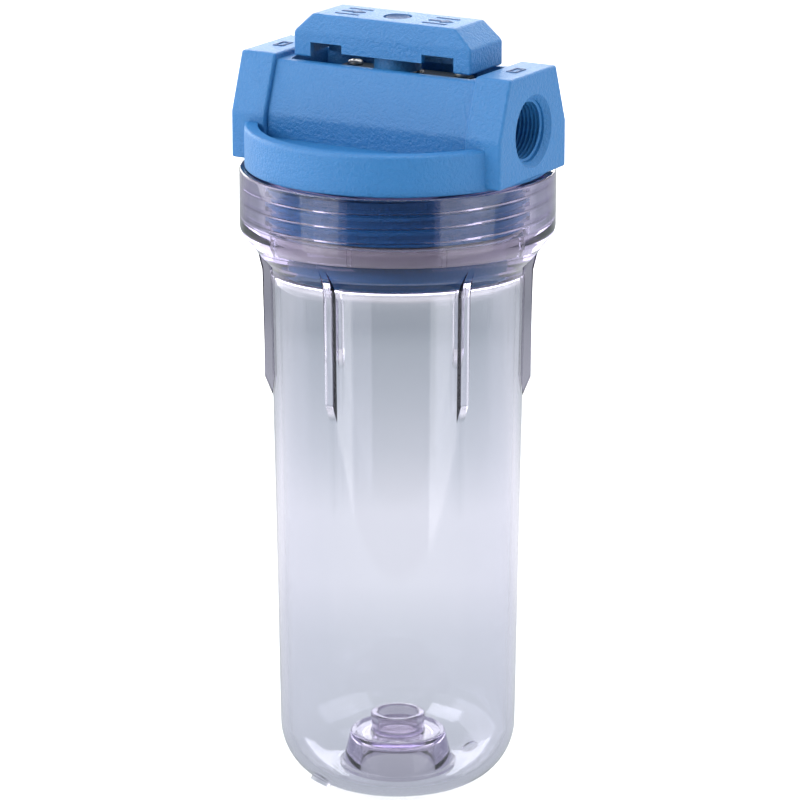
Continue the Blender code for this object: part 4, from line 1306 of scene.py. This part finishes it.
@dataclass
class Handle:
    """The bar that turns the valve, hollow below, with its hub, ribs and cap."""

    bottom: float = field(default_factory=lambda: levels("handle")[0] + 3.4)
    top: float = field(default_factory=lambda: levels("handle")[1])
    hub_bottom: float = field(default_factory=lambda: levels("handle")[0])
    half_length: float = field(default_factory=lambda: radius_of("handle"))
    half_depth: float = 13.2
    top_half_depth: float = 11.9
    chamfer_length: float = 8.1
    chamfer_height: float = 7.6
    wall: float = 2.6
    arch: float = 2.8
    notch: tuple[float, float, float] = (26.2, 14.8, 6.3)
    hub: float = 9.7
    square: float = 9.6
    square_top: float = 317.3
    rib_x: float = 18.2
    rib: float = 2.0
    cap: float = 5.6
    recess_floor: float = 320.55
    edge: float = 0.9

    def bar(self, name: str, inset: float, low: float, high: float, edge: float) -> bpy.types.Object:
        """Builds the bar's form, or with an inset its hollow.

        Args:
            name: The object's name.
            inset: How far inside the bar's faces it stays.
            low: Its lower height.
            high: Its upper height.
            edge: The radius of its edges.

        Returns:
            The solid.
        """
        knee = self.top - self.chamfer_height - inset * 0.4
        sections = [
            (low, self.half_length - inset, self.half_depth - inset),
            (knee, self.half_length - inset, self.half_depth - inset),
            (high, self.half_length - self.chamfer_length - inset * 0.6, self.top_half_depth - inset),
        ]
        work = bmesh.new()
        rings = [
            [work.verts.new((i * x, j * y, z)) for i, j in ((-1, -1), (1, -1), (1, 1), (-1, 1))]
            for z, x, y in sections
        ]
        work.faces.new(list(reversed(rings[0])))
        work.faces.new(rings[-1])
        for lower, upper in zip(rings, rings[1:]):
            for i in range(4):
                j = (i + 1) % 4
                work.faces.new((lower[i], lower[j], upper[j], upper[i]))
        bmesh.ops.bevel(work, geom=work.edges, offset=edge, segments=3, profile=0.5, affect="EDGES")
        return from_work(name, work)

    def build(self) -> list[bpy.types.Object]:
        """Builds and dresses the handle, its cap and its marks."""
        bar = self.bar("valve_handle", 0.0, self.bottom, self.top, self.edge)
        roof = self.top - self.wall
        deep = self.half_depth + 1.0
        centre, width, height = self.notch
        hollow = self.bar("hollow", self.wall, self.bottom - 3.0, roof, 0.4)
        arch = block("arch", (-centre, -deep, self.bottom - 3.0), (centre, deep, self.bottom + self.arch))
        cutters = [hollow, arch]
        cutters += [
            block(
                "notch", (side * centre - width / 2, -deep, self.bottom - 3.0),
                (side * centre + width / 2, deep, self.bottom + height),
            )
            for side in (-1, 1)
        ]
        boolean(bar, Operation.CUT, cutters)
        joined = [cone("hub", (0, 0, self.hub_bottom), (0, 0, roof + 1.0), self.hub)]
        half, side_reach = self.rib / 2, self.half_depth - self.wall / 2
        level, spine = self.bottom + height + 1.0, self.bottom + 1.0
        end = self.half_length - self.chamfer_length - self.wall / 2
        for side in (-1, 1):
            x = side * self.rib_x
            joined.append(block("rib", (x - half, -side_reach, level), (x + half, side_reach, roof + 1.0)))
            ends = sorted((side * (self.hub - 1.0), side * end))
            joined.append(block("spine", (ends[0], -half, spine), (ends[1], half, roof + 1.0)))
        boolean(bar, Operation.JOIN, joined)
        socket = self.square / 2 + 0.3
        boolean(bar, Operation.CUT, [
            block("socket", (-socket, -socket, self.hub_bottom - 1.0), (socket, socket, self.square_top)),
            cone("recess", (0, 0, self.recess_floor), (0, 0, self.top + 1.0), self.cap + 0.3),
            cone(
                "screw_hole", (0, 0, self.square_top - 1.0), (0, 0, self.recess_floor + 1.0), 2.3, steps=SMALL
            ),
        ])
        finish_piece(bar, BLUE, "valve", ["handle"], 30.0)
        return [bar, self.cap_piece(), *self.marks()]

    def cap_piece(self) -> bpy.types.Object:
        """Builds the round plug over the handle's screw, with a dished top."""
        low, high = levels("handle_cap")
        radius, inner = self.cap, self.cap - 0.7
        profile = [(0.0, high - 0.5), (radius - 2.0, high - 0.4)]
        profile += arc((radius - 0.9, high - 0.5), 0.5, 120, 0, 4)
        profile += [(radius, high - 1.0), (radius, low), (inner, low), (inner, high - 1.2), (0.0, high - 1.2)]
        cap = revolve("screw_cap", profile, FINE)
        return finish_piece(cap, MARK, "valve", ["handle_cap"])

    def marks(self) -> list[bpy.types.Object]:
        """Builds the raised arrows and bars on the handle's top, in a dark blue that is painted shade of
        sunken lettering.
        """
        shapes = []
        for side in (-1, 1):
            shapes.append(arrow(side * 20.5, 0.0, self.top - 0.25, 11.0, 6.0))
            for row in (-1, 1):
                x = side * 20.5
                shapes.append(block(
                    "bar", (x - 5.5, row * 5.8 - 0.6, self.top - 0.25),
                    (x + 5.5, row * 5.8 + 0.6, self.top + 0.2),
                    0.15,
                ))
        whole = shapes.pop()
        boolean(whole, Operation.JOIN, shapes)
        whole.name = "handle_marks"
        return [finish_piece(whole, MARK, "valve")]


def arrow(x: float, y: float, base: float, length: float, width: float) -> bpy.types.Object:
    """Builds a plain raised arrow that points along +X.

    Args:
        x: Its middle.
        y: Its middle.
        base: The height that it rises from.
        length: Its length.
        width: Its head's width.

    Returns:
        The solid.
    """
    tail, neck, tip, stem = x - length / 2, x + length * 0.08, x + length / 2, width * 0.17
    outline = [
        (tail, y - stem), (neck, y - stem), (neck, y - width / 2), (tip, y),
        (neck, y + width / 2), (neck, y + stem),
        (tail, y + stem),
    ]
    return prism("arrow", outline, base, base + 0.45)


@dataclass
class Studio:
    """The pale floor, the soft lights and the camera."""

    azimuth: float = 30.44
    elevation: float = 15.54
    distance: float = 1.88761
    lens: float = 204.47
    aim: float = 0.16458
    shift: float = 0.00092
    # Greys of the glowing card on the table along the camera's depth: painted light and shade that shows
    # through the clear sump.
    see_through_shade_greys: tuple[Point, ...] = (
        (-0.5, 0.5), (-0.1, 0.7), (0.08, 0.85), (0.18, 0.95), (0.27, 1.14), (0.39, 1.16), (0.51, 0.92),
        (0.64, 0.76), (0.74, 0.66), (0.8, 0.53), (1.5, 0.5),
    )

    def spot(self, azimuth: float, elevation: float, distance: float) -> Vector:
        """Gives a place round the object.

        Args:
            azimuth: Degrees round from the front, towards +X.
            elevation: Degrees above the floor.
            distance: Metres from the object's middle.

        Returns:
            The place.
        """
        a, e = math.radians(azimuth), math.radians(elevation)
        back = Vector((math.sin(a) * math.cos(e), -math.cos(a) * math.cos(e), math.sin(e)))
        return Vector((0, 0, self.aim)) + back * distance

    def softbox(
        self, name: str, place: Vector, size: Point, radiance: float, aim: Vector | None = None
    ) -> None:
        """Sets up a rectangular soft light that faces the object.

        Args:
            name: The light's name.
            place: Where it stands.
            size: Its width and height in metres.
            radiance: How bright its face is.
            aim: What it faces, if not the object's middle.
        """
        lamp = bpy.data.lights.new(name, "AREA")
        lamp.shape, lamp.size, lamp.size_y = "RECTANGLE", *size
        lamp.energy = radiance * math.pi * size[0] * size[1]
        made = bpy.data.objects.new(name, lamp)
        bpy.context.scene.collection.objects.link(made)
        made.location = place
        target = aim or Vector((0, 0, self.aim))
        made.rotation_euler = (place - target).to_track_quat("Z", "Y").to_euler()

    def air(self) -> None:
        """Builds the studio's white walls, which are dark round the camera."""
        world = bpy.data.worlds.new("studio_air")
        world.use_nodes = True
        tree = world.node_tree
        aim = tree.nodes.new("ShaderNodeTexCoord").outputs["Generated"]
        towards = tree.nodes.new("ShaderNodeVectorMath")
        towards.operation = "DOT_PRODUCT"
        a = math.radians(self.azimuth)
        towards.inputs[1].default_value = (math.sin(a), -math.cos(a), 0.0)
        tree.links.new(aim, towards.inputs[0])
        fade = tree.nodes.new("ShaderNodeMapRange")
        fade.interpolation_type = "SMOOTHSTEP"
        for name, value in (("From Min", 0.35), ("From Max", 0.85), ("To Min", 1.0), ("To Max", 0.3)):
            fade.inputs[name].default_value = value
        tree.links.new(towards.outputs["Value"], fade.inputs["Value"])
        back = tree.nodes["Background"]
        back.inputs["Color"].default_value = (0.97, 0.985, 1.0, 1.0)
        tree.links.new(fade.outputs["Result"], back.inputs["Strength"])
        bpy.context.scene.world = world

    def unseen(
        self, name: str, low: Sequence[float], high: Sequence[float], look: bpy.types.Material
    ) -> None:
        """Sets up a card, in the camera's axes, that only reflections and clear plastic show.

        Args:
            name: The card's name.
            low: Its least corner.
            high: Its greatest corner.
            look: Its material.
        """
        card = moved(block(name, low, high), Matrix.Rotation(math.radians(self.azimuth), 4, "Z"))
        card.data.transform(Matrix.Scale(MM, 4))
        card.data.materials.append(look)
        card.visible_camera = card.visible_diffuse = card.visible_shadow = False

    def flag(self) -> None:
        """Sets up the dark card before the table, which shows through the sump from behind."""
        look = GrainedPlastic("flag_black", (0.02, 0.02, 0.02), (0.03, 0.03, 0.03)).build()
        self.unseen("flag", (-290, -343, 0), (180, -340, 1000), look)

    def mat(self) -> None:
        """Lays a glowing card on the table, unseen by the camera, whose greys are painted light and shade for
        what shows through the clear sump in the camera's own view.
        """
        made = Shader("table_mat")
        made.set(Base_Color=(0.0, 0.0, 0.0, 1.0), Roughness=0.9, Specular_IOR_Level=0.0)
        level = (0, 0, -math.radians(self.azimuth))
        turn = made.node("Mapping", {"vector_type": "POINT"}, {"Rotation": level})
        made.feed(turn.inputs["Vector"], made.node("TexCoord").outputs["Object"])
        depth = made.node("SeparateXYZ", None, {"Vector": turn.outputs[0]}).outputs["Y"]
        ramp = made.node("ValToRGB")
        scaled = made.node("MapRange", None, {"Value": depth, "From Min": -0.5, "From Max": 1.5})
        made.feed(ramp.inputs["Fac"], scaled.outputs["Result"])
        stops = ramp.color_ramp.elements
        for place, grey in self.see_through_shade_greys:
            share = (place + 0.5) / 2
            stop = stops.new(share) if share not in (0.0, 1.0) else stops[int(share)]
            cool = 0.12 * (1.2 - grey)
            stop.color = (grey * (0.97 - cool), grey * 0.985, grey * (1.0 + cool / 2), 1.0)
        # The card glows with these greys, which paint light and shade into what shows through the sump.
        made.set(Emission_Color=ramp.outputs["Color"], Emission_Strength=1.0)
        self.unseen("table_mat", (-2500, -340, 0.3), (2500, 3000, 0.6), made.material)

    def build(self) -> None:
        """Builds the stage and sets the scene's camera."""
        floor = block("floor", (-4000, -4000, -20), (4000, 4000, 0))
        floor.data.transform(Matrix.Scale(MM, 4))
        floor.data.materials.append(Paper().build())
        self.air()
        side = self.azimuth + 65
        self.softbox("right_box", self.spot(side, 12, 1.1), (1.4, 0.9), 1.4)
        side = self.azimuth - 105
        self.softbox("left_box", self.spot(side, 12, 1.1), (1.8, 0.9), 1.6)
        self.softbox("front_box", self.spot(self.azimuth - 60, 30, 1.7), (1.2, 0.8), 5.0)
        self.softbox("back_box", self.spot(self.azimuth + 180, 17, 1.6), (2.4, 0.6), 4.0)
        self.softbox("top_box", Vector((0.0, 0.3, 2.2)), (2.2, 2.2), 1.6)
        self.flag()
        # A glowing card whose greys are painted light and shade seen through the sump.
        self.mat()
        lens = bpy.data.cameras.new("camera")
        lens.lens, lens.sensor_width = self.lens, 36.0
        lens.clip_start, lens.clip_end = 0.05, 20.0
        camera = bpy.data.objects.new("camera", lens)
        bpy.context.scene.collection.objects.link(camera)
        a = math.radians(self.azimuth)
        place = self.spot(self.azimuth, self.elevation, self.distance)
        camera.location = place + Vector((math.cos(a), math.sin(a), 0)) * self.shift
        camera.rotation_euler = (place - Vector((0, 0, self.aim))).to_track_quat("Z", "Y").to_euler()
        bpy.context.scene.camera = camera
        bpy.context.scene.view_settings.view_transform = "Standard"


def dress_frame() -> None:
    """Gives each of the frame's own nodes that stays in sight its finish."""
    looks = {
        "rubber": RUBBER, "grey_silicone": SILICONE, "natural_plastic": NATURAL, "valve_plastic": DARK,
        "stainless": STEEL, "blue_plastic": BLUE, "clear_plastic": CLEAR,
    }
    slots = {row["node"]: row["material_slot"] for row in frame["record"]["subparts"]}
    for name, thing in frame["nodes"].items():
        if thing.hide_render:
            continue
        look = looks[slots[name]]
        thing.data.materials.clear()
        thing.data.materials.append(look)
        LOG.info("dressed %s in %s", name, look.name)


def main() -> None:
    """Builds every sub-assembly in order and reports its pieces."""
    logging.basicConfig(level=logging.INFO, format="%(name)s: %(message)s")
    for assembly in (Sump(), Head(), Screws(), Handle()):
        for piece in assembly.build():
            LOG.info("%s: %s with %d faces", type(assembly).__name__, piece.name, len(piece.data.polygons))
    dress_frame()
    Studio().build()


if __name__ == "__main__":
    main()
